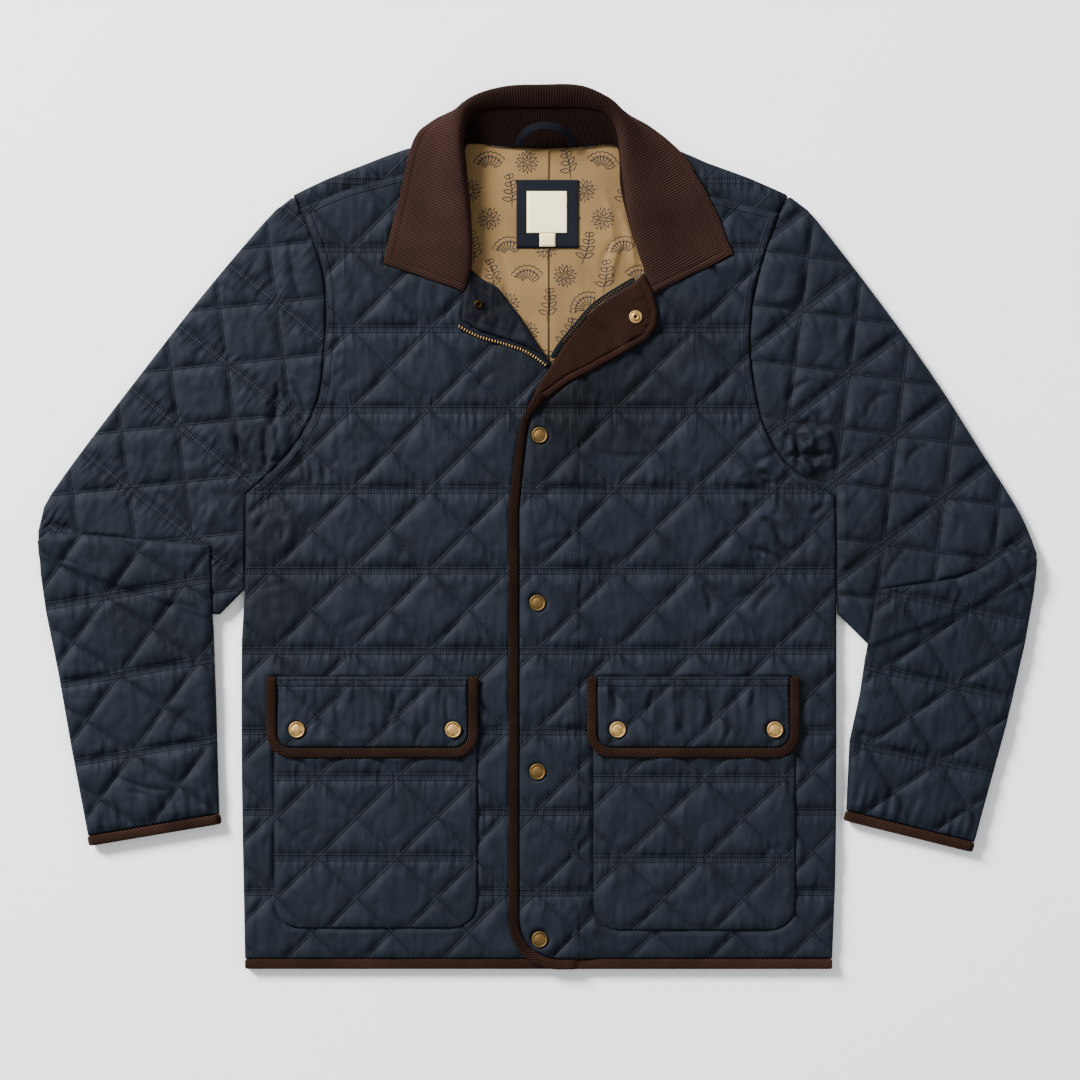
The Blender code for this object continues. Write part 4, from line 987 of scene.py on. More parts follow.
def front_relief(side):
    """Raised bands at the armhole and the shoulder and, on the left, the placket's."""
    def relief(points):
        raised = band(points, ARMHOLES[side], 0.9) + band(points, SHOULDERS[side], 0.7)
        if side == "left":
            x, y = points.T / MM
            low, high = PLACKET_BAND
            grooves = dent(x - low, 1) + dent(x - high, 1)
            raised += (0.35 * between_edges(x, low, high, 1) - 0.6 * grooves) * (y < PLACKET_TOP)
            # under the cloth the overlap ends in a short step, and on top it falls away softly
            under, over = np.clip((x - STEP_START) / STEP_WIDE, 0, 1), eased(x, 22, 80)
            raised += (OVERLAP_LOW - FRONT_LOW) * (under - over)
        return raised
    return relief


# %% The two fronts
panel(
    "front_right", shell, 2.2, 3.0, 37, relief=front_relief("right"), bands=front_bands("right"),
    covers=("pocket_right", "flap_right", "flap_binding_right", "collar", "facing_right", "zip_tape_right",
            "front_left", "binding_front_left", "facing_left", "snap_socket"),
)
panel(
    "front_left", shell, 2.2, 3.0, 35, relief=front_relief("left"), bands=front_bands("left"),
    folds=((STEP_START, 0, 0), (STEP_START + STEP_WIDE, 0, 0)),
    cuts=[place + shift for place in PLACKET_BAND for shift in (-1.4, -0.5, 0.5, 1.4)],
    covers=("pocket_left", "flap_left", "flap_binding_left", "collar", "facing_left", "zip_tape_left",
            "snap_front_1", "snap_front_2", "snap_front_3", "snap_front_4"),
)

# %% Sleeves and forearms, gathered a little above the cuffs
CUFFS = {"right": ((-303, -271.5), (-427, -292.5)), "left": ((294, -268.5), (415, -298.5))}


def cuff_gathers(side):
    """Gathers that run up a forearm from its cuff."""
    def relief(points):
        off, along = beside(points, np.array(CUFFS[side]) * MM)
        gathers = lumps(along, off, (150, 14), 4)
        return 2.6 * gathers * eased(off / MM, 0, 5) * (1 - eased(off / MM, 10, 48))
    return relief


SLEEVE_CORNER, CORNER_REACH = (-233, 313), 16


def closed_up(points):
    """The top corner of the right sleeve reaches over to the back."""
    near = np.clip(1 - np.linalg.norm(points / MM - SLEEVE_CORNER, axis=1) / CORNER_REACH, 0, 1)
    return points + np.stack([3.6 * near, 0.6 * near], axis=1) * MM


for side in SIDES:
    panel(f"sleeve_{side}_top", shell, 2.2, 3.0, 40, covers=(f"forearm_{side}_top",),
          warp=closed_up if side == "right" else None)
    panel(f"forearm_{side}_top", cuff_shell, 2.8, 3.4, 40, relief=cuff_gathers(side))
    for part in ("sleeve", "forearm"):
        panel(f"{part}_{side}_under", shell_plain, 5.3, 0, count=6, soft=0, roll=2, curl=CURL)

# %% Pockets, and flaps with a flat sewn band along the top
FLAP_TOP, FLAP_ROWS = -141.0, (2.0, 8.0)  # y of the top edge, and two rows of stitches below it


def flap_relief(points):
    """The sewn band, its lower groove, and cloth that drags a little below it."""
    off = FLAP_TOP - points[:, 1] / MM
    drag = lumps(*points.T, (105, 16), 9) * eased(off, 8, 14) * (1 - eased(off, 40, 66))
    return 0.9 * (1 - eased(off, 7.2, 8.6)) - dent(off - FLAP_ROWS[1], 1.2) + 2.6 * drag


def flap_bands(points):
    return rows_place(FLAP_TOP - points[:, 1] / MM, FLAP_ROWS), 0 * points[:, 0]


for side in SIDES:
    panel(f"pocket_{side}", shell, 1.8, 2.4, 40, covers=(f"flap_{side}", f"flap_binding_{side}"))
    snaps = tuple(f"snap_pocket_{side}_{number}" for number in (1, 2))
    panel(f"flap_{side}", shell, 2.2, 2.2, 44, covers=snaps, relief=flap_relief, bands=flap_bands)

# %% Back, lining and turned-back corners
PLEAT = 10.0  # x of the pleat, whose left side lies over its right side
CORNER_EDGE = (
    (101, 242), (110, 222), (114, 205), (113, 192), (105, 179), (82, 166), (53, 150), (31, 139), (17, 129),
    (6, 121),
)
CORNER_ROW, FACING_ROW = 6.4, 7  # line of stitches on the left and the right turned corner


def lifted(points):
    """The top edge of the lining runs up under the stand, most at its two corners."""
    x, y = points.T / MM
    share = eased(y, 318, 357)
    corner = eased(np.abs(x - 5), 38, 62)
    return np.stack([x + (x - 5) * 0.12 * share, y + (4.6 + 5.5 * corner) * share], axis=1) * MM


def pleat(points):
    """A step that rises slowly from the left, and a groove at its foot."""
    off = points[:, 0] / MM - PLEAT
    rise = 1.3 * np.exp(np.minimum(off, 0) / 7) * (1 - eased(off, -0.2, 0.9))
    return rise - 0.5 * np.exp(-np.abs(off - 1.2) / 1.6)


def facing_crumple(points):
    """Crumpled cloth inside a stitched line, which runs round near the border."""
    rim = away_from(points, FLAT_CUTS["facing_right"]) / MM
    return 3.2 * (crumpled(points, 5) - 0.5) * eased(rim, 0, 6) - 0.6 * dent(rim - FACING_ROW, 1.1)


def facing_relief(points):
    """A stitched line inside the outer edge, gathered a little, and a fuller rim outside it."""
    off, along = beside(points, np.array(CORNER_EDGE) * MM)
    off = off / MM
    gathers = (lumps(along, off, (105, 0.02), 2) + 0.25) * eased(off, 6, 10) * (1 - eased(off, 12, 30))
    return 0.5 * (1 - eased(off, 5, 7)) - dent(off - CORNER_ROW, 1) + 1.5 * gathers


panel("back_panel", shell, 5.3, 0, count=12, cap=True, soft=0.1, roll=1, curl=CURL)
panel("lining_back", lining, 1.0, 0, count=52, roll=0.3, relief=pleat, warp=lifted,
      cuts=[PLEAT + shift for shift in (-0.7, -0.2, 0.3, 0.9, 1.6)], covers=("label_patch", "collar_stand"))
panel("facing_right", facing_shell, 2.8, 0, count=46, relief=facing_crumple,
      covers=("snap_socket", "zip_tape_right"))
panel("facing_left", facing_cord, 2.8, 0, count=30, soft=0.4, ribs=(-59, 2.2),
      covers=("snap_stud", "zip_tape_left"), relief=facing_relief)
panel("label_patch", patch_cloth, 0.9, 0, count=20, soft=0.1, roll=0.2)
panel("label", label_cloth, 0.7, 0, count=20, soft=0.1, roll=0.2)
panel("size_tab", tab_cloth, 0.6, 0, count=20, soft=0.05, roll=0.2)

# %% [markdown]
# ## Corduroy trim
# Collar, stand and bindings are strips and sheets of corduroy that follow a curve. Each is a grid
# of points laid over its curve, with four points to a rib, so that the ribs are real ridges. The
# grid is closed round its section, and its ends are filled.

# %% Grids that follow a curve
RIB = 2.42  # from one rib of the corduroy to the next
STAND_RIB = 2.2
BIAS_RIB, BIAS_LEAN = 3.75, 1.33  # along a binding, and how far its ribs slant
RIB_DEEP = 0.38
MERGED = 0.002  # points as near as this become one


def resampled(points, step=None, count=None):
    """Evenly spaced points on a line, and how far along it each lies."""
    points = np.asarray(points, float)
    length = np.concatenate([[0], np.cumsum(np.linalg.norm(np.diff(points[:, :3], axis=0), axis=1))])
    along = np.linspace(0, length[-1], (count or max(2, round(length[-1] / step))) + 1)
    return np.stack([np.interp(along, length, column) for column in points.T], axis=1), along


def groove(phase, deep=RIB_DEEP):
    """Depth of the grooves between ribs, one at each whole number."""
    return deep * (0.5 + 0.5 * np.cos(2 * math.pi * phase)) ** 1.6


def grid_piece(name, node, finish, spots, phase, nap_shade=None):
    """A grid of places in millimetres, whose rows close on themselves, as a piece."""
    count = np.array(spots.shape[:2]) - 1
    bm = bmesh.new()
    bmesh.ops.create_grid(bm, x_segments=int(count[0]), y_segments=int(count[1]), size=1)
    piece = finished(name, bm, finish)
    flat = spots_of(piece)[:, :2]
    i, j = np.rint((flat - flat.min(axis=0)) / np.ptp(flat, axis=0) * count).astype(int).T
    piece.data.vertices.foreach_set("co", (spots[i, j] * MM).astype(np.float32).ravel())
    write_map(piece, "rib", phase[i, j], 0.0 * flat[:, 0] if nap_shade is None else np.asarray(nap_shade)[i])
    bm = bmesh.new()
    bm.from_mesh(piece.data)
    bmesh.ops.remove_doubles(bm, verts=bm.verts, dist=MERGED * MM)
    bmesh.ops.holes_fill(bm, edges=[edge for edge in bm.edges if edge.is_boundary])
    bmesh.ops.recalc_face_normals(bm, faces=bm.faces)
    bm.to_mesh(piece.data)
    bm.free()
    piece.data.shade_smooth()
    return stands_for(piece, node)


def right_of(run):
    """Level directions square to others, on their right."""
    return unit(np.stack([run[..., 1], -run[..., 0], 0 * run[..., 0]], axis=-1))


LEAST = 0.4  # a strip is nowhere slimmer than twice this
END_ROUND = 1.6  # the ends of a strip are rounded over this length


def sweep(node, finish, slot, path, across, side=None, closed=False, step=0.94, around=24, deep=0.6,
          square=0.8, nap_shade=None, slim=0.0):
    """A rounded strip along rows of x, y, z and thickness, with slanting ribs if it is corduroy."""
    route, along = resampled(path, step)
    spots = route[:, :3]
    run = np.gradient(spots, axis=0)
    if closed:
        run[0] = run[-1] = spots[1] - spots[-2]
    run = unit(run)
    wide = right_of(run) if side is None else unit(np.array(side, float)[None] + 0 * run)
    tall = unit(np.cross(wide, run))
    turn = np.linspace(0, 2 * math.pi, around + 1)
    flat, high = (0.5 * np.sign(w(turn)) * np.abs(w(turn)) ** square for w in (np.cos, np.sin))
    phase = (along[:, None] + BIAS_LEAN * across * flat[None]) / BIAS_RIB
    shrink = groove(phase, deep)
    near_end = np.clip(np.minimum(along, along[-1] - along) / END_ROUND, 0, 1)
    ends = (0 * along if closed else 1.2 * (1 - near_end) ** 2)[:, None]
    across_here = across * (1 - slim * (1 - eased(along, 30, 120)))[:, None]
    half_wide = np.maximum(across_here - 2 * ends - 2 * shrink * np.abs(flat) ** 2, LEAST)
    half_tall = np.maximum(route[:, 3:4] - ends - 2 * shrink * (high > -0.1), LEAST)
    grid = spots[:, None] + wide[:, None] * (half_wide * flat)[..., None]
    grid = grid + tall[:, None] * (half_tall * high)[..., None]
    if closed:
        grid[-1], phase[-1] = grid[0], phase[0]
    grid[:, -1] = grid[:, 0]
    grid_piece(f"{node}_{slot}", node, finish, grid, phase, nap_shade(run) if nap_shade else None)
    length, wide_cut = float(along[-1]) * MM, (across + float(route[:, 3].mean())) * MM
    SHEETS[node] = (length, max(wide_cut, LEAST_SIDE), length * wide_cut)


# %% [markdown]
# ### Collar and stand
# The collar rises from the stand, rolls over and falls to its outer edge. The stand is the wall
# inside it. Ribs run up the stand, over the roll and, on the two leaves, across to the front, a
# little askew, as the cut of a collar makes them.

# %% Tables of the collar, from the right point round the back to the left point
COLLAR = (
    # x and y of the start, direction outwards, height, then reach and height of two handles
    # and of the outer edge
    (-71, 225, 161, 10.6, 8, 12.6, 40, 11.0, 80, 10.2),
    (-64, 246, 161, 13.4, 3, 20.0, 40, 12.0, 82, 10.2),
    (-63, 274, 161, 17.0, 2, 28.0, 30, 12.5, 76, 10.2),
    (-66, 308, 163, 19.0, 2, 33.0, 26, 13.0, 64, 10.2),
    (-70, 344, 168, 20.0, 3, 36.0, 22, 14.0, 52, 11.4),
    (-71, 370, 174, 21.0, 4, 38.0, 20, 15.0, 42, 11.4),
    (-67, 386, 178, 21.0, 8, 39.0, 22, 12.0, 31, 7.0),
    (-60, 394, 140, 21.0, 16, 39.0, 18, 4.0, -6, 2.0),
    (-46, 398, 110, 20.5, 22, 38.0, 22, 1.5, -24, 1.5),
    (-22, 399, 95, 20.0, 28, 37.0, 28, 1.5, -28, 1.5),
    (9, 399, 90, 20.0, 29.5, 37.0, 29.5, 1.5, -28, 1.5),
    (38, 399, 85, 20.0, 28, 37.0, 28, 1.5, -28, 1.5),
    (57, 396, 66, 20.5, 21, 38.0, 21, 1.5, -24, 1.5),
    (68, 391, 36, 21.0, 15, 39.0, 17, 4.0, -6, 2.0),
    (74, 382, 2, 21.0, 8, 39.0, 22, 12.0, 29, 7.0),
    (78, 366, 1, 21.0, 4, 38.0, 20, 15.0, 46, 11.4),
    (80, 345, 4, 20.0, 3, 36.0, 24, 14.0, 61, 11.4),
    (85, 308, 8, 19.0, 2, 33.0, 30, 14.0, 76, 11.8),
    (93, 272, 14, 17.0, 2, 28.0, 36, 12.5, 83, 10.2),
    (102, 246, 17, 13.4, 3, 20.0, 42, 12.0, 83, 10.2),
    (111, 223, 26, 10.6, 8, 12.6, 42, 11.0, 84, 10.2),
)
STAND = (
    # x and y of the foot, x and y of the top, height of the foot and of the top
    (-64, 252, -64, 253, 9.2, 12.0),
    (-63, 276, -64, 277, 9.0, 15.5),
    (-65, 310, -66, 310, 9.0, 17.6),
    (-68, 340, -69, 344, 9.0, 18.6),
    (-69, 363, -71.5, 374, 8.0, 19.4),
    (-56, 366, -63, 391, 7.2, 19.4),
    (-32, 363.5, -40, 397.5, 7.2, 18.8),
    (6, 361.5, 8, 398.5, 7.2, 18.2),
    (45, 363.5, 50, 397, 7.2, 18.8),
    (67, 365.5, 69, 389, 7.2, 19.4),
    (77.5, 360, 78, 370, 8.0, 19.4),
    (79.5, 325, 80, 330, 9.0, 18.6),
    (85, 300, 86, 302, 9.0, 17.4),
    (93, 270, 93, 271, 9.0, 15.0),
)
RIB_TURNS = (
    # row of the table, and the direction of the ribs there, in degrees
    (0, 157), (5, 157), (6, 152), (7, 138), (8, 110), (9, 95), (10, 90), (11, 85), (12, 68), (13, 48),
    (14, 31), (15, 29), (20, 29),
)


def between(rows, count):
    """Rows of a table with softly interpolated ones between them."""
    rows = [np.array(row, float) for row in rows]
    ends = [rows[0], *rows, rows[-1]]
    made = []
    for before, start, end, after in zip(ends, ends[1:], ends[2:], ends[3:]):
        for step in range(count):
            t = step / count
            pull = (end - before) * (t - 2 * t**2 + t**3) / 2 + (after - start) * (t**3 - t**2) / 2
            made.append(start * (1 - 3 * t**2 + 2 * t**3) + end * (3 * t**2 - 2 * t**3) + pull)
    return np.array(made + [rows[-1]])


MIDDLE = 0.55  # a sheet's columns are spaced evenly at this share of its width
COARSE = 8  # the inner side keeps one row of points in this many
ROUNDED = ((-1, 1, (30, 60, 90, 120, 150)), (0, -1, (150, 110, 70, 30)))  # outer and inner edge


def evened(sheet, step):
    """A sheet of points with evenly spaced columns, and each column's place in the table."""
    middle = sheet[:, int(sheet.shape[1] * MIDDLE)]
    route, along = resampled(np.column_stack([middle, np.arange(len(sheet))]), step)
    place = route[:, 3]
    flat = sheet.reshape(len(sheet), -1)
    out = np.stack([np.interp(place, np.arange(len(sheet)), column) for column in flat.T], axis=1)
    return out.reshape(len(along), *sheet.shape[1:]), along, place


def shelled(name, node, finish, sheet, phase, thick, sink, nap_shade=None):
    """Gives a ribbed sheet its thickness, with rounded edges and a plainer inner side."""
    out = np.gradient(sheet, axis=1)
    normal = unit(np.cross(np.gradient(sheet, axis=0), out))
    normal *= 1 if normal[..., 2].mean() > 0 else -1
    from_end = np.minimum(np.arange(len(sheet)), np.arange(len(sheet))[::-1]) * 0.6
    taper = np.clip(0.45 + 0.55 * np.sqrt(np.clip(from_end / 1.4, 0, 1)), 0, 1)[:, None]
    half = thick / 2 * taper
    face = sheet + normal * (half - sink)[..., None]
    rows = [(face[:, j], phase[:, j]) for j in range(face.shape[1])]
    for edge, sign, turns in ROUNDED:
        if edge == 0:
            inner = range(sheet.shape[1] - 1, -1, -COARSE)
            rows += [(sheet[:, j] - normal[:, j] * half, phase[:, j]) for j in inner]
        run = unit(out[:, edge]) * sign
        for turn in np.radians(turns):
            around = normal[:, edge] * math.cos(turn) + run * math.sin(turn)
            rows.append((sheet[:, edge] + around * half, phase[:, edge]))
    spots, lines = (np.stack(parts, axis=1) for parts in zip(*rows, rows[0]))
    spots[..., 2] = np.maximum(spots[..., 2], 0)  # its back rests on the floor
    grid_piece(name, node, finish, spots, lines, nap_shade)


def distances(sheet):
    """How far each point lies from the inner edge, the outer edge and the nearer end."""
    out = np.cumsum(np.linalg.norm(np.diff(sheet, axis=1, prepend=sheet[:, :1]), axis=2), axis=1)
    side = np.cumsum(np.linalg.norm(np.diff(sheet, axis=0, prepend=sheet[:1]), axis=2), axis=0)
    return out, out[:, -1:] - out, np.minimum(side, side[-1:] - side)


def cut_of(sheet, along, width):
    """Length and width of a sheet's cut in metres, and its area."""
    side, out = np.diff(sheet, axis=0)[:, :-1], np.diff(sheet, axis=1)[:-1]
    area = float(np.linalg.norm(np.cross(side, out), axis=2).sum()) * MM**2
    wide, long = float(along[-1]) * MM, float(width.max()) * MM
    return wide, long, min(max(area, LEAST_SHARE * wide * long), wide * long)


# %% The collar
TOPSTITCH = 6.5  # from the edge of a leaf to its line of stitches
COLLAR_WALL, STAND_WALL = 2.6, 2.2
SECTION = 60  # steps across the collar
SOFTENED = 10  # rows put in for each row of a table
share = np.linspace(0, 1, SECTION)
weights = np.stack([(1 - share) ** 3, 3 * share * (1 - share) ** 2, 3 * share**2 * (1 - share), share**3])
sections = []
for x, y, turn, *heights_of in between(COLLAR, SOFTENED):
    handles = np.array(((0, heights_of[0]), heights_of[1:3], heights_of[3:5], heights_of[5:7]))
    reach, high = (weights.T @ handles).T
    c, s = math.cos(math.radians(turn)), math.sin(math.radians(turn))
    line, along = resampled(np.stack([x + reach * c, y + reach * s, high], axis=1), count=SECTION)
    sections.append(resampled(line[:-1] if along[1] > 1.2 else line, count=SECTION)[0])
collar_sheet, along, place = evened(np.array(sections), RIB / 4)
width, to_edge, to_end = distances(collar_sheet)
# ribs keep their pitch all over the cloth: count them square to their own direction
turns = np.radians(np.interp(place / SOFTENED, *np.array(RIB_TURNS).T) - 90)
square_to = np.stack([np.cos(turns), np.sin(turns)], axis=1)
middle = collar_sheet[:, int(SECTION * MIDDLE), :2]
counted = np.cumsum(np.sum(np.diff(middle, axis=0, prepend=middle[:1]) * square_to, axis=1))
from_middle = np.sum((collar_sheet[..., :2] - middle[:, None]) * square_to[:, None], axis=2)
phase = (counted[:, None] + from_middle) / RIB
edge_line = np.minimum(to_edge, to_end)
sink = groove(phase) + 0.45 * dent(edge_line - TOPSTITCH, 1.1)
sink -= 0.35 * eased(edge_line, 0.6, 3) * (1 - eased(edge_line, 4, TOPSTITCH))
i, j = np.indices(phase.shape)
soft = lumps(i.ravel(), j.ravel(), (0.016, 0.05), 3).reshape(phase.shape)
sink = np.minimum(sink - 0.6 * soft * eased(edge_line, 0, 20), 1.0)
# painted shade on the roll at the back, where the pile leans away from the eye
nap_shade = 0.6 * eased(place / SOFTENED, 5, 8) * (1 - eased(place / SOFTENED, 12, 15.5))
shelled("collar_corduroy", "collar", corduroy, collar_sheet, phase, COLLAR_WALL, sink, nap_shade=nap_shade)
SHEETS["collar"] = cut_of(collar_sheet, along, width)

# %% The stand
walls = [np.linspace((x, y, low), (top_x, top_y, high), 17)
         for x, y, top_x, top_y, low, high in between(STAND, SOFTENED)]
stand_sheet, along, place = evened(np.array(walls), STAND_RIB / 4)
width, to_edge, to_end = distances(stand_sheet)
phase = np.repeat((along / STAND_RIB)[:, None], stand_sheet.shape[1], axis=1)
sink = groove(phase, 0.4) + 0.3 * dent(to_edge - 4, 0.9)
shelled("stand_corduroy", "collar_stand", stand_cord, stand_sheet, phase, STAND_WALL, sink)
SHEETS["collar_stand"] = cut_of(stand_sheet, along, width)

# %% [markdown]
# ### Bindings
# A binding is a strip of corduroy cut on the bias and folded over an edge. Cut that way it bends
# round corners without a crease, and its ribs lie slanting across it.

# %% Routes of the bindings
def arc(x, y, radius, start, end):
    """Points round a quarter of a circle, or another part of it."""
    return [(x + radius * math.cos(turn), y + radius * math.sin(turn))
            for turn in np.radians(np.linspace(start, end, 25))]


BINDING = 9.6  # width of every binding
BINDING_THICK, UNDERLAP_THICK, FLAP_THICK, CUFF_THICK = 4.0, 2.9, 4.2, 4.6
FRONT_EDGE, HEM, HEM_CURVE = -17.5, -409.2, 38.0  # x, y and the radius between them
BACK_TOP, FLAP_LOW = 5.3, 10.9  # top of the back's binding, underside of a flap's
HEM_RIGHT, HEM_LEFT = -278, 280  # x where the hem ends at the side seams
CORNER_START = (
    # x, y, rise and thickness of the strip that starts on the turned corner's tip
    (4.5, 127.5, 5.6, 1.6), (-1.0, 119.8, 4.6, 2.4), (-6.8, 111.6, 3.2, 3.4), (-10.2, 106, 1.0, 4.0),
)
out = BINDING / 2 + GAP
x, y, radius = FRONT_EDGE - out, HEM - out, HEM_CURVE + out
high, low = OVERLAP_LOW + BINDING_THICK / 2, FRONT_LOW + BINDING_THICK / 2
route = [(px, py, high + rise, tall) for px, py, rise, tall in CORNER_START]
edge = [(-12.3, 101), (-14.9, 88.6), (-19.8, 47.6), (x, 20), *arc(x + radius, y + radius, radius, 180, 270)]
route += [(px, py, high, BINDING_THICK) for px, py in edge + [(STEP_START - 1, y)]]
route += [(px, y, low, BINDING_THICK) for px in (STEP_START + 5, HEM_LEFT)]
# painted shade on the upright stretches of the front edge's binding
sweep("binding_front_left", edge_cord, "corduroy", route, BINDING, slim=0.3,
      nap_shade=lambda run: 0.6 * eased(np.abs(run[:, 1]), 0.2, 0.9))
route = [(px, y, FRONT_LOW + UNDERLAP_THICK / 2, UNDERLAP_THICK) for px in (HEM_RIGHT, 24)]
sweep("binding_front_right", hem_cord, "corduroy", route, BINDING)
route = [(px, y, BACK_TOP / 2, BACK_TOP) for px in (HEM_RIGHT, HEM_LEFT)]
sweep("binding_back", hem_cord, "corduroy", route, BINDING, step=2.2, around=12, deep=0)

# %% Bindings of the cuffs, closed round the end of each sleeve
CUFF_LOW, CUFF_HIGH = 2.7, 8.6  # heights at which the strip runs under and over a cuff
middle = (CUFF_LOW + CUFF_HIGH) / 2
CUFF_RING = (
    # share of the cuff's width, and height
    (0.03, CUFF_HIGH), (0.97, CUFF_HIGH), (0.995, middle), (0.97, CUFF_LOW), (0.03, CUFF_LOW),
    (0.005, middle), (0.03, CUFF_HIGH),
)
for side, (start, stop) in CUFFS.items():
    start, stop = np.array(start), np.array(stop)
    length = np.linalg.norm(stop - start)
    run = (stop - start) / length
    down = np.array((run[1], -run[0])) * (-1 if side == "right" else 1)
    route = [(*(start + run * length * share + down * out), level, CUFF_THICK) for share, level in CUFF_RING]
    # a little painted shade all round each cuff binding
    sweep(f"cuff_binding_{side}", edge_cord, "corduroy", route, BINDING, side=(*down, 0), closed=True,
          nap_shade=lambda run: 0.1 + 0 * run[:, 0])

# %% Bindings of the pocket flaps
FLAPS = {"right": (-257, -56), "left": (47, 249)}  # x of the two sides of each flap
FLAP_BOTTOM, FLAP_CORNER = -218, 23.0
for side, (left, right) in FLAPS.items():
    half = BINDING / 2
    left, right, bottom, radius = left + half, right - half, FLAP_BOTTOM + half, FLAP_CORNER - half
    route = [(left, FLAP_TOP), *arc(left + radius, bottom + radius, radius, 180, 270)]
    route += [*arc(right - radius, bottom + radius, radius, 270, 360), (right, FLAP_TOP)]
    route = [(px, py, FLAP_LOW + FLAP_THICK / 2, FLAP_THICK) for px, py in route]
    sweep(f"flap_binding_{side}", flap_cord, "corduroy", route, BINDING - 0.2)

# %% [markdown]
# ## Tapes: the hanger loop and the zip
# The loop is a plain strip of twill that stands up on its edge. The two zip tapes lie along the
# turned-back corners, and on each sits a row of small brass teeth.

# %% Hanger loop and zip tapes
LOOP = (
    (-17.5, 361, 11.5), (-15.5, 369.5, 17.5), (-7, 376.5, 23.5), (7.5, 379.5, 25.5), (22, 376.5, 23.5),
    (30.5, 369.5, 17.5), (32.5, 361, 11.5),
)
ZIPS = {
    # line of the tape, its height, and the share of it that carries teeth
    "right": (((-76, 193.5), (-56, 183), (-32, 176), (-13, 169.5), (-1, 162.5), (10.5, 154)), 9.8, 1.0),
    "left": (((91.8, 235.7), (55.4, 212.7), (34.9, 190), (21.7, 173.9), (13.8, 160.9)), 13.0, 0.74),
}
LOOP_THICK, LOOP_WIDE = 1.2, 6.6
ZIP_ACROSS, ZIP_TALL, TOOTH_PITCH = 5.0, 1.6, 2.8
route = [(*point, LOOP_THICK) for point in between(LOOP, 12)]
sweep("hanger_loop", tape_cloth, "patch", route, LOOP_WIDE, deep=0, around=16, step=1.2, square=0.22)
TEETH = {}
for side, (line, level, toothed) in ZIPS.items():
    route = [(*point, level, ZIP_TALL) for point in between(line, 12)]
    sweep(f"zip_tape_{side}", tape_cloth, "patch", route, ZIP_ACROSS, deep=0, around=12, step=1.2,
          square=0.3)
    TEETH[side] = route[: int(len(route) * toothed)]

# %% [markdown]
# ## Small things laid along lines
# Stitches, zip teeth and the lines of the printed lining are many copies of one small shape. Each
# copy is bent along its own short line, and all copies of a kind are joined in one mesh.


# %% Bend copies of a small shape along short lines
def small_shape(kind, **settings):
    """Points of a small shape from -1 to 1 along Z, and its faces."""
    bm = bmesh.new()
    getattr(bmesh.ops, kind)(bm, **settings)
    if kind == "create_cube":
        settings = {"offset": 0.22, "segments": 1, "affect": "EDGES", "profile": 0.5, "material": -1}
        bmesh.ops.bevel(bm, geom=bm.edges[:], **settings)
    bm.verts.index_update()
    points = np.array([tuple(vert.co) for vert in bm.verts])
    faces = [[vert.index for vert in face.verts] for face in bm.faces]
    bm.free()
    return points / np.abs(points).max(axis=0), faces


STITCH_SHAPE = small_shape("create_uvsphere", u_segments=4, v_segments=2, radius=1)
STROKE_SHAPE = small_shape("create_uvsphere", u_segments=4, v_segments=8, radius=1)
CORD_SHAPE = small_shape("create_uvsphere", u_segments=8, v_segments=8, radius=1)
for shape in (STROKE_SHAPE, CORD_SHAPE):  # an even line, with blunt ends
    radius = np.linalg.norm(shape[0][:, :2], axis=1, keepdims=True)
    shape[0][:, :2] *= np.maximum(radius, 1e-6) ** -0.7
TOOTH_SHAPE = small_shape("create_cube", size=2)
DISC_SHAPE = small_shape("create_uvsphere", u_segments=12, v_segments=8, radius=1)


def laid(name, finish, shape, lines, wide, tall):
    """Copies of a shape along lines, given as an array of line, point, and x, y, z in metres."""
    points, faces = shape
    lines = np.asarray(lines, float)
    place = (points[:, 2] + 1) / 2 * (lines.shape[1] - 1)
    first = np.minimum(place.astype(int), lines.shape[1] - 2)
    part = (place - first)[None, :, None]
    centre = lines[:, first] * (1 - part) + lines[:, first + 1] * part
    run = unit(lines[:, first + 1] - lines[:, first])
    side = right_of(run)
    aside, up = (points[:, 0] * wide * MM / 2)[None, :, None], (points[:, 1] * tall * MM / 2)[None, :, None]
    spots = centre + side * aside + np.cross(side, run) * up
    mesh = bpy.data.meshes.new(name)
    starts = range(0, len(lines) * len(points), len(points))
    joined = [[start + corner for corner in face] for start in starts for face in faces]
    mesh.from_pydata(spots.reshape(-1, 3).tolist(), [], joined)
    bm = bmesh.new()
    bm.from_mesh(mesh)
    bmesh.ops.recalc_face_normals(bm, faces=bm.faces)
    piece = finished(name, bm, finish)
    print(name, len(lines), "copies")
    return piece


TOOTH_REACH = (-0.2, 2.6)  # from the middle of its tape
TOOTH_UP, TOOTH_TALL = 0.8, 1.5


def teeth_of(side):
    """One short line for each tooth, square to the tape."""
    route, _ = resampled(TEETH[side], TOOTH_PITCH)
    across = right_of(np.gradient(route[:, :2], axis=0)) * (1 if side == "right" else -1)
    base = route[:, :3] + (0, 0, TOOTH_UP)
    return np.stack([base + across * reach for reach in TOOTH_REACH], axis=1)[1:-1] * MM


laid("zip_teeth_right", tooth_brass, TOOTH_SHAPE, teeth_of("right"), 1.15, TOOTH_TALL)
laid("zip_teeth_left", old_brass, TOOTH_SHAPE, teeth_of("left"), 1.1, TOOTH_TALL)

# %% [markdown]
# ## Snaps
# A press snap has a cap on the outside, turned here from its profile with a milled border and a
# plain dished middle. At the neck the two inner halves show: a socket, and a stud with its post.

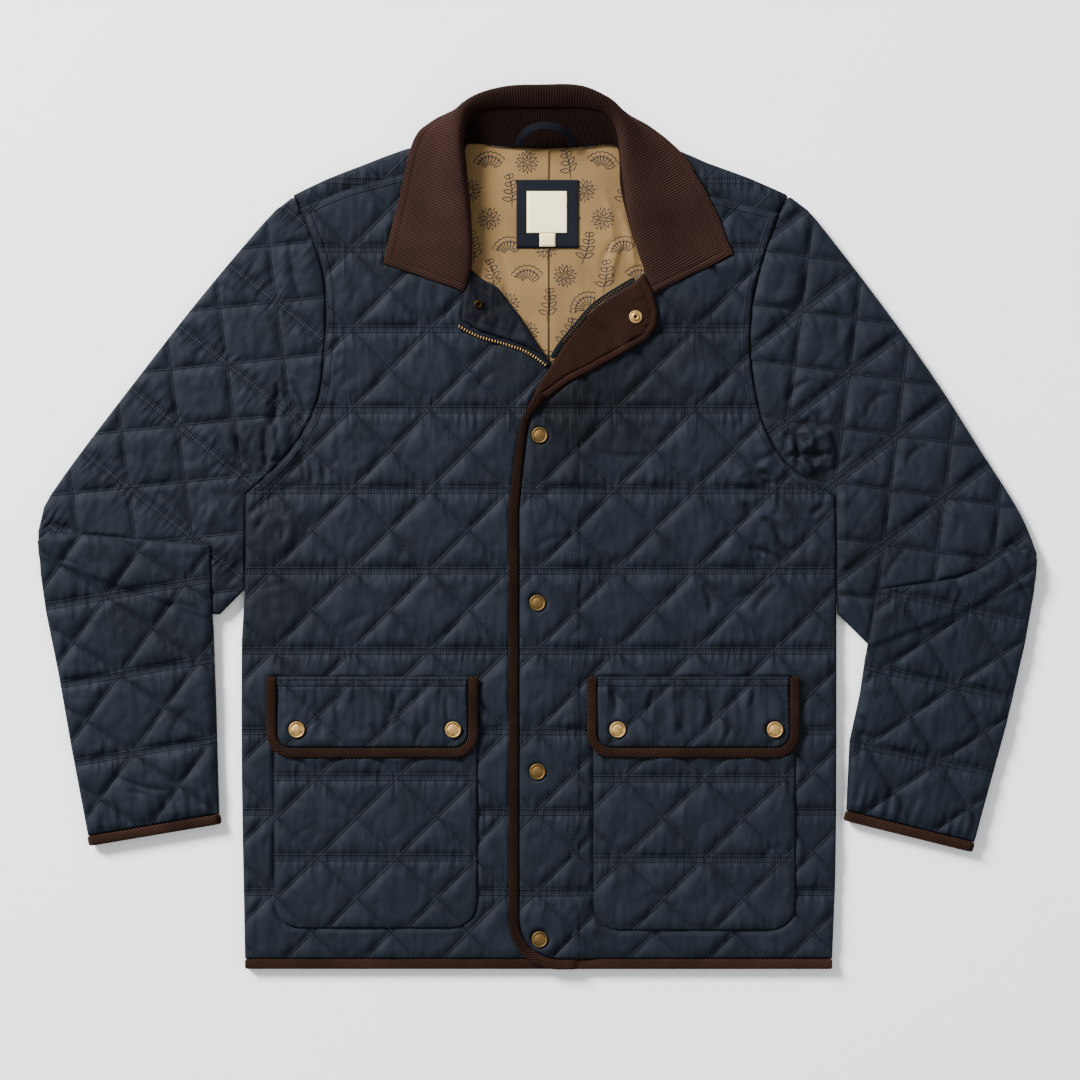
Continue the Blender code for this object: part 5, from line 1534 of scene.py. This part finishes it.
# %% Turned profiles: radius and height down the outer side
CAP = (
    (0, 3.0), (4.7, 3.0), (4.9, 2.88), (6.5, 2.88), (6.7, 3.12), (7.2, 3.05), (7.6, 2.6), (7.6, 0.8),
    (7.1, 0), (0, 0),
)
SOCKET = (
    (0, 0.35), (1.7, 0.35), (2.0, 1.35), (2.7, 1.6), (3.5, 1.35), (4.2, 0.8), (4.5, 0.35), (4.3, 0), (0, 0),
)
STUD = (
    (0, 0.8), (1.5, 0.8), (1.9, 2.0), (2.6, 2.2), (3.2, 1.9), (3.5, 0.7), (4.6, 0.55), (5.5, 1.05),
    (6.2, 0.7), (6.1, 0), (0, 0),
)
CAPS = [node for node in frame["nodes"] if node.startswith(("snap_front", "snap_pocket"))]


def seat_of(node):
    """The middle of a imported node's lower side."""
    low, high = (np.array(corner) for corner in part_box(node))
    return (*((low + high) / 2)[:2], low[2])


def turned(node, finish, profile, steps=64):
    """A profile turned round its axis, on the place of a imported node."""
    bm = bmesh.new()
    points = [bm.verts.new((r * MM, 0, z * MM)) for r, z in profile]
    edges = [bm.edges.new(pair) for pair in zip(points, points[1:])]
    bmesh.ops.spin(bm, geom=points + edges, cent=(0, 0, 0), axis=(0, 0, 1), angle=2 * math.pi, steps=steps,
                   use_merge=True)
    bmesh.ops.remove_doubles(bm, verts=bm.verts, dist=MERGED * MM)
    bmesh.ops.recalc_face_normals(bm, faces=bm.faces)
    bmesh.ops.translate(bm, vec=seat_of(node), verts=bm.verts)
    stands_for(finished(node + "_brass", bm, finish), node)


for node in CAPS:
    turned(node, darker_cap_brass if "front" in node else brass, CAP)
turned("snap_socket", black_brass, SOCKET, 40)
turned("snap_stud", brass, STUD, 40)

# %% Plain marks round each cap, and painted shade: a dark disc in the hollow of the socket and of the stud
MARK_TURNS = [math.radians(turn) for side in (90, 270) for turn in np.linspace(side - 62, side + 62, 10)]
MARK_RADII, MARK_LEVEL = (4.95, 6.35), 2.95
HOLLOWS = (("snap_socket", 0.5, 1.6), ("snap_stud", 0.95, 1.35))  # node, level and radius
marks, hollows = [], []
for node in CAPS:
    x, y, z = seat_of(node)
    for c, s in [(math.cos(turn) * MM, math.sin(turn) * MM) for turn in MARK_TURNS]:
        marks.append([(x + r * c, y + r * s, z + MARK_LEVEL * MM) for r in MARK_RADII])
laid("snap_marks", patina_and_shade, STITCH_SHAPE, marks, 1.0, 0.4)
for node, level, radius in HOLLOWS:
    x, y, z = seat_of(node)
    hollows.append([(x + r * MM, y, z + level * MM) for r in (-radius, radius)])
laid("snap_hollows", patina_and_shade, DISC_SHAPE, hollows, 3.0, 0.3)

# %% [markdown]
# ## Stitches
# All visible sewing is thread that dips in and out of the cloth. One stitch is a slim shape about
# two millimetres long, laid on whatever cloth is on top at its place. To find that, a ray goes
# straight down on all pieces at once. Stitches whose place is covered by another piece are left
# out.

# %% One map of everything that shows from above
everything, owners, every_spot = [], [], []
for node, piece in PIECES.items():
    start = len(every_spot)
    everything += [[start + i for i in polygon.vertices] for polygon in piece.data.polygons]
    owners += [node] * len(piece.data.polygons)
    every_spot += spots_of(piece).tolist()
above = BVHTree.FromPolygons(every_spot, everything)
print("map of", len(everything), "faces")
WITH = {node: [] for node in PIECES}  # what is sewn or printed on each piece
STITCH_SUNK = 0.05
STITCH_DROP = 1.2  # no stitch spans a larger step


def hit(x, y):
    """Height of the highest piece at a place, and whose it is."""
    spot, _, face, _ = above.ray_cast((x, y, 0.2), (0, 0, -1))
    return (spot.z, owners[face]) if spot else (None, None)


def even(route, pitch):
    """Evenly spaced points in metres on a route given in millimetres."""
    return resampled(np.asarray(route, float)[:, :2], pitch)[0] * MM


def sewn(name, node, routes, finish=None, pitch=STITCH, length=1.5, wide=0.7, tall=0.4):
    """Stitches along routes, where this node is the highest piece."""
    lines = []
    for line in (even(route, pitch) for route in routes):
        for start, end in zip(line[:-1], line[1:]):
            stop = start + (end - start) * length / pitch
            (first, owner), (last, last_owner) = hit(*start), hit(*stop)
            if owner == last_owner == node and abs(first - last) < STITCH_DROP * MM:
                lines.append([(*spot, z - STITCH_SUNK * MM) for spot, z in ((start, first), (stop, last))])
    if lines:
        WITH[node].append(laid(name, finish or shell_thread, STITCH_SHAPE, lines, wide, tall))


def quilt_lines(node):
    """Rows and diagonals of a panel's quilting that cross its outline."""
    x, y, turn, across, along = QUILTS[node]
    ring = FLAT_CUTS[node]
    u, v = pattern_of(ring, QUILTS[node])
    c, s = math.cos(math.radians(turn)), math.sin(math.radians(turn))

    def place(a, b):
        a, b = np.asarray(a) * across, np.asarray(b) * along
        return np.stack([x + a * c - b * s, y + a * s + b * c], axis=1)

    lines = []
    for row in range(math.floor(v.min()), math.ceil(v.max()) + 1):
        for shift in (-0.5, 0.5):
            level = row + shift * ROW_PAIR / along
            lines.append(place((u.min(), u.max()), (level, level)))
    ends = np.array((v.min(), v.max()))
    for slant in (1, -1):
        q = u - slant * v
        lines += [place(k + slant * ends, ends) for k in range(math.floor(q.min()), math.ceil(q.max()) + 1)]
    return lines


for node in QUILTS:
    if node != "back_panel":
        sewn(node + "_quilting", node, quilt_lines(node))

# %% Topstitching beside seams and edges
SEAM_ROWS, POCKET_ROWS = (1.6, 6.4), (1.4, 4.2)  # distances of the rows from the edge
FLAP_INSET = 11  # from the side of a flap to its band's first stitch
CORD_STEP, CORD_UP = 4.0, 0.55  # length of one lump of the gathered seam, and its height


def ring_inside(node, distance):
    """A panel's outline moved inwards and closed."""
    ring = FLAT_CUTS[node] / MM
    moved = offset_of(ring, distance * winding(ring), True)
    moved = moved[away_from(moved, ring) > distance * 0.85]
    return np.vstack([moved, moved[:1]])


def seam_stitches(name, side, line):
    """Two rows beside a seam, on the side where the middle of the front lies."""
    middle = FLAT_CUTS[f"front_{side}"].mean(axis=0)
    moved, still = (np.linalg.norm(row.mean(axis=0) - middle) for row in (offset_of(line, 5 * MM), line))
    sign = 1 if moved < still else -1
    routes = [offset_of(line / MM, sign * d) for d in SEAM_ROWS]
    sewn(f"{name}_{side}_stitches", f"front_{side}", routes)


for side in SIDES:
    pocket, flap, front = f"pocket_{side}", f"flap_{side}", f"front_{side}"
    sewn(f"{pocket}_stitches", pocket, [ring_inside(pocket, d) for d in POCKET_ROWS])
    seam_stitches("armhole", side, ARMHOLES[side])
    seam_stitches("shoulder", side, SHOULDERS[side])
    line = even(SLEEVE_SEAMS[side] / MM, CORD_STEP)
    line = np.column_stack([line, heights(line, front) + CORD_UP * MM])
    cords = np.stack([line[:-1], line[1:] + 0.15 * (line[1:] - line[:-1])], axis=1)
    WITH[front].append(laid(f"sleeve_seam_{side}", shell_thread, CORD_SHAPE, cords, 1.7, 1.6))
    left, right = FLAPS[side]
    ends = left + FLAP_INSET, right - FLAP_INSET
    sewn(f"{flap}_stitches", flap, [[(px, FLAP_TOP - d) for px in ends] for d in FLAP_ROWS])
sewn("placket_stitches", "front_left", [((px, STITCHED_TOP), (px, HEM)) for px in PLACKET_BAND])
sewn("facing_right_stitches", "facing_right", [ring_inside("facing_right", FACING_ROW)])
sewn("facing_left_stitches", "facing_left", [offset_of(CORNER_EDGE, -CORNER_ROW)], cord_thread)
sewn("label_patch_stitches", "label_patch", [ring_inside("label_patch", 2.0)], None, 2.2, 1.7, 0.4)
sewn("label_stitches", "label", [ring_inside("label", 1.2)], tab_cloth, 1.8, 1.3, 0.35, 0.3)


# %% Topstitching of the collar, along its own grid
def on_sheet(sheet, distance):
    """The line on a sheet that keeps this distance from its outer edge and both ends."""
    _, to_edge, to_end = distances(sheet)
    columns = np.flatnonzero(to_end[:, -10] >= distance)
    rows = [int(np.argmin(np.abs(to_edge[i] - distance))) for i in columns]
    line = [sheet[i, j, :2] for i, j in zip(columns, rows)]
    ends = [[sheet[i, j, :2] for j in range(20, rows[k])] for i, k in ((columns[0], 0), (columns[-1], -1))]
    return np.array(ends[0] + line[1:-1] + ends[1][::-1])


sewn("collar_stitches", "collar", [on_sheet(collar_sheet, TOPSTITCH)], cord_thread, wide=0.6)
rows = [stand_sheet[:, j, :2] for j in (-3, 1)]
sewn("stand_stitches", "collar_stand", rows, cord_thread, wide=0.5)

# %% [markdown]
# ## Printed lining
# The lining carries a light print of sprigs, rosettes and fans in navy, set out in rows that are
# shifted by half a step. Each stroke is a very thin line of ink on top of the cloth.


# %% Strokes of the print
T = np.linspace(0, 1, 15)  # places along a stroke
INK_UP, INK_WIDE, INK_TALL = 0.08, 0.8, 0.2
PRINT_START, PRINT_STEP, PRINT_SCALE = (-82, 348), (36, 27), 0.92
PRINT_GRID = (8, 6)  # rows and columns of motifs


def polar(radius, turn):
    """Places at a distance and a direction."""
    return np.stack([radius * np.cos(turn), radius * np.sin(turn)], axis=-1)


def leaf(foot, turn, long, wide):
    """The outline of a leaf, in two strokes."""
    run, side = polar(1, turn), np.array((-math.sin(turn), math.cos(turn)))
    bow = wide * np.sin(math.pi * T**0.8)
    return [foot + np.outer(T * long, run) + np.outer(bow * way, side) for way in (1, -1)]


def sprig():
    """A bent stem with leaves on both sides."""
    stem = np.stack([4.5 * np.sin(T * 2.2), 36 * T - 18], axis=1)
    made = [stem]
    for k in range(1, 5):
        for way in (0.55, math.pi - 0.35):
            made += leaf(stem[3 * k], way, 12.5 - 1.8 * k, 2.3)
    return made


def rosette():
    """Eight petals round a ring, and dashes between them."""
    made = [polar(2.2, 6.28 * T)]
    for turn in math.pi * np.arange(8) / 4:
        made += leaf(polar(2.8, turn), turn, 8.5, 1.7)
        made.append(polar(9 + 3.5 * T, turn + math.pi / 8))
    return made


def fan():
    """Nine bowed ribs that spread from one foot, under two scalloped borders."""
    made = []
    spread = np.linspace(28, 152, 9)
    for turn in np.radians(spread):
        bow = np.outer(2.2 * np.sin(math.pi * T) * math.cos(turn), (0, -1))
        made.append(polar(16 * (0.28 + 0.72 * T), turn) + bow - (0, 8))
    for radius in (12.5, 17.5):
        for start in spread[:-1]:
            made.append(polar(radius + 1.6 * np.sin(math.pi * T), np.radians(start + 15.5 * T)) - (0, 8))
    return made


def visible(stroke):
    """The longest stretch of a stroke that lies on the lining, as places in metres."""
    run, best = [], []
    for x, y in stroke * MM:
        z, node = hit(x, y)
        run = run + [(x, y, z + INK_UP * MM)] if node == "lining_back" else []
        best = run if len(run) > len(best) else best
    return [resampled(best, count=8)[0]] if len(best) > 4 else []


strokes = []
for row, column in np.ndindex(*PRINT_GRID):
    cx = PRINT_START[0] + column * PRINT_STEP[0] + row % 2 * PRINT_STEP[0] / 2
    cy = PRINT_START[1] - row * PRINT_STEP[1]
    turn = 0.9 * noise.noise((row * 1.7, column * 2.3, 0.4))
    turned_by = np.array(((math.cos(turn), math.sin(turn)), (-math.sin(turn), math.cos(turn))))
    for stroke in (sprig, rosette, fan)[(row + column * 2) % 3]():
        strokes += visible(stroke @ turned_by * PRINT_SCALE + (cx, cy))
printed = laid("lining_print", ink, STROKE_SHAPE, strokes, INK_WIDE, INK_TALL)
WITH["lining_back"].append(printed)

RESTS_ON = {
    "front_right": ["back_panel"], "front_left": ["back_panel", "front_right"],
    "lining_back": ["back_panel"], "collar": ["front_right", "front_left"],
    "collar_stand": ["lining_back"], "hanger_loop": ["collar_stand"],
    "label_patch": ["lining_back"], "label": ["label_patch"], "size_tab": ["label_patch"],
    "binding_front_left": ["front_left", "binding_front_right"], "binding_front_right": ["binding_back"],
}
for side in SIDES:
    RESTS_ON[f"sleeve_{side}_top"] = [f"sleeve_{side}_under"]
    RESTS_ON[f"forearm_{side}_top"] = [f"forearm_{side}_under", f"sleeve_{side}_top"]
    RESTS_ON[f"pocket_{side}"] = RESTS_ON[f"facing_{side}"] = [f"front_{side}"]
    RESTS_ON[f"flap_{side}"] = RESTS_ON[f"flap_binding_{side}"] = [f"pocket_{side}"]
    RESTS_ON[f"zip_tape_{side}"] = [f"facing_{side}"]
triangles = 0
for thing in bpy.data.objects:
    if thing.type == "MESH" and thing.name not in frame["nodes"]:
        thing.data.calc_loop_triangles()
        triangles += len(thing.data.loop_triangles)
print(triangles, "triangles added")
low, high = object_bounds()
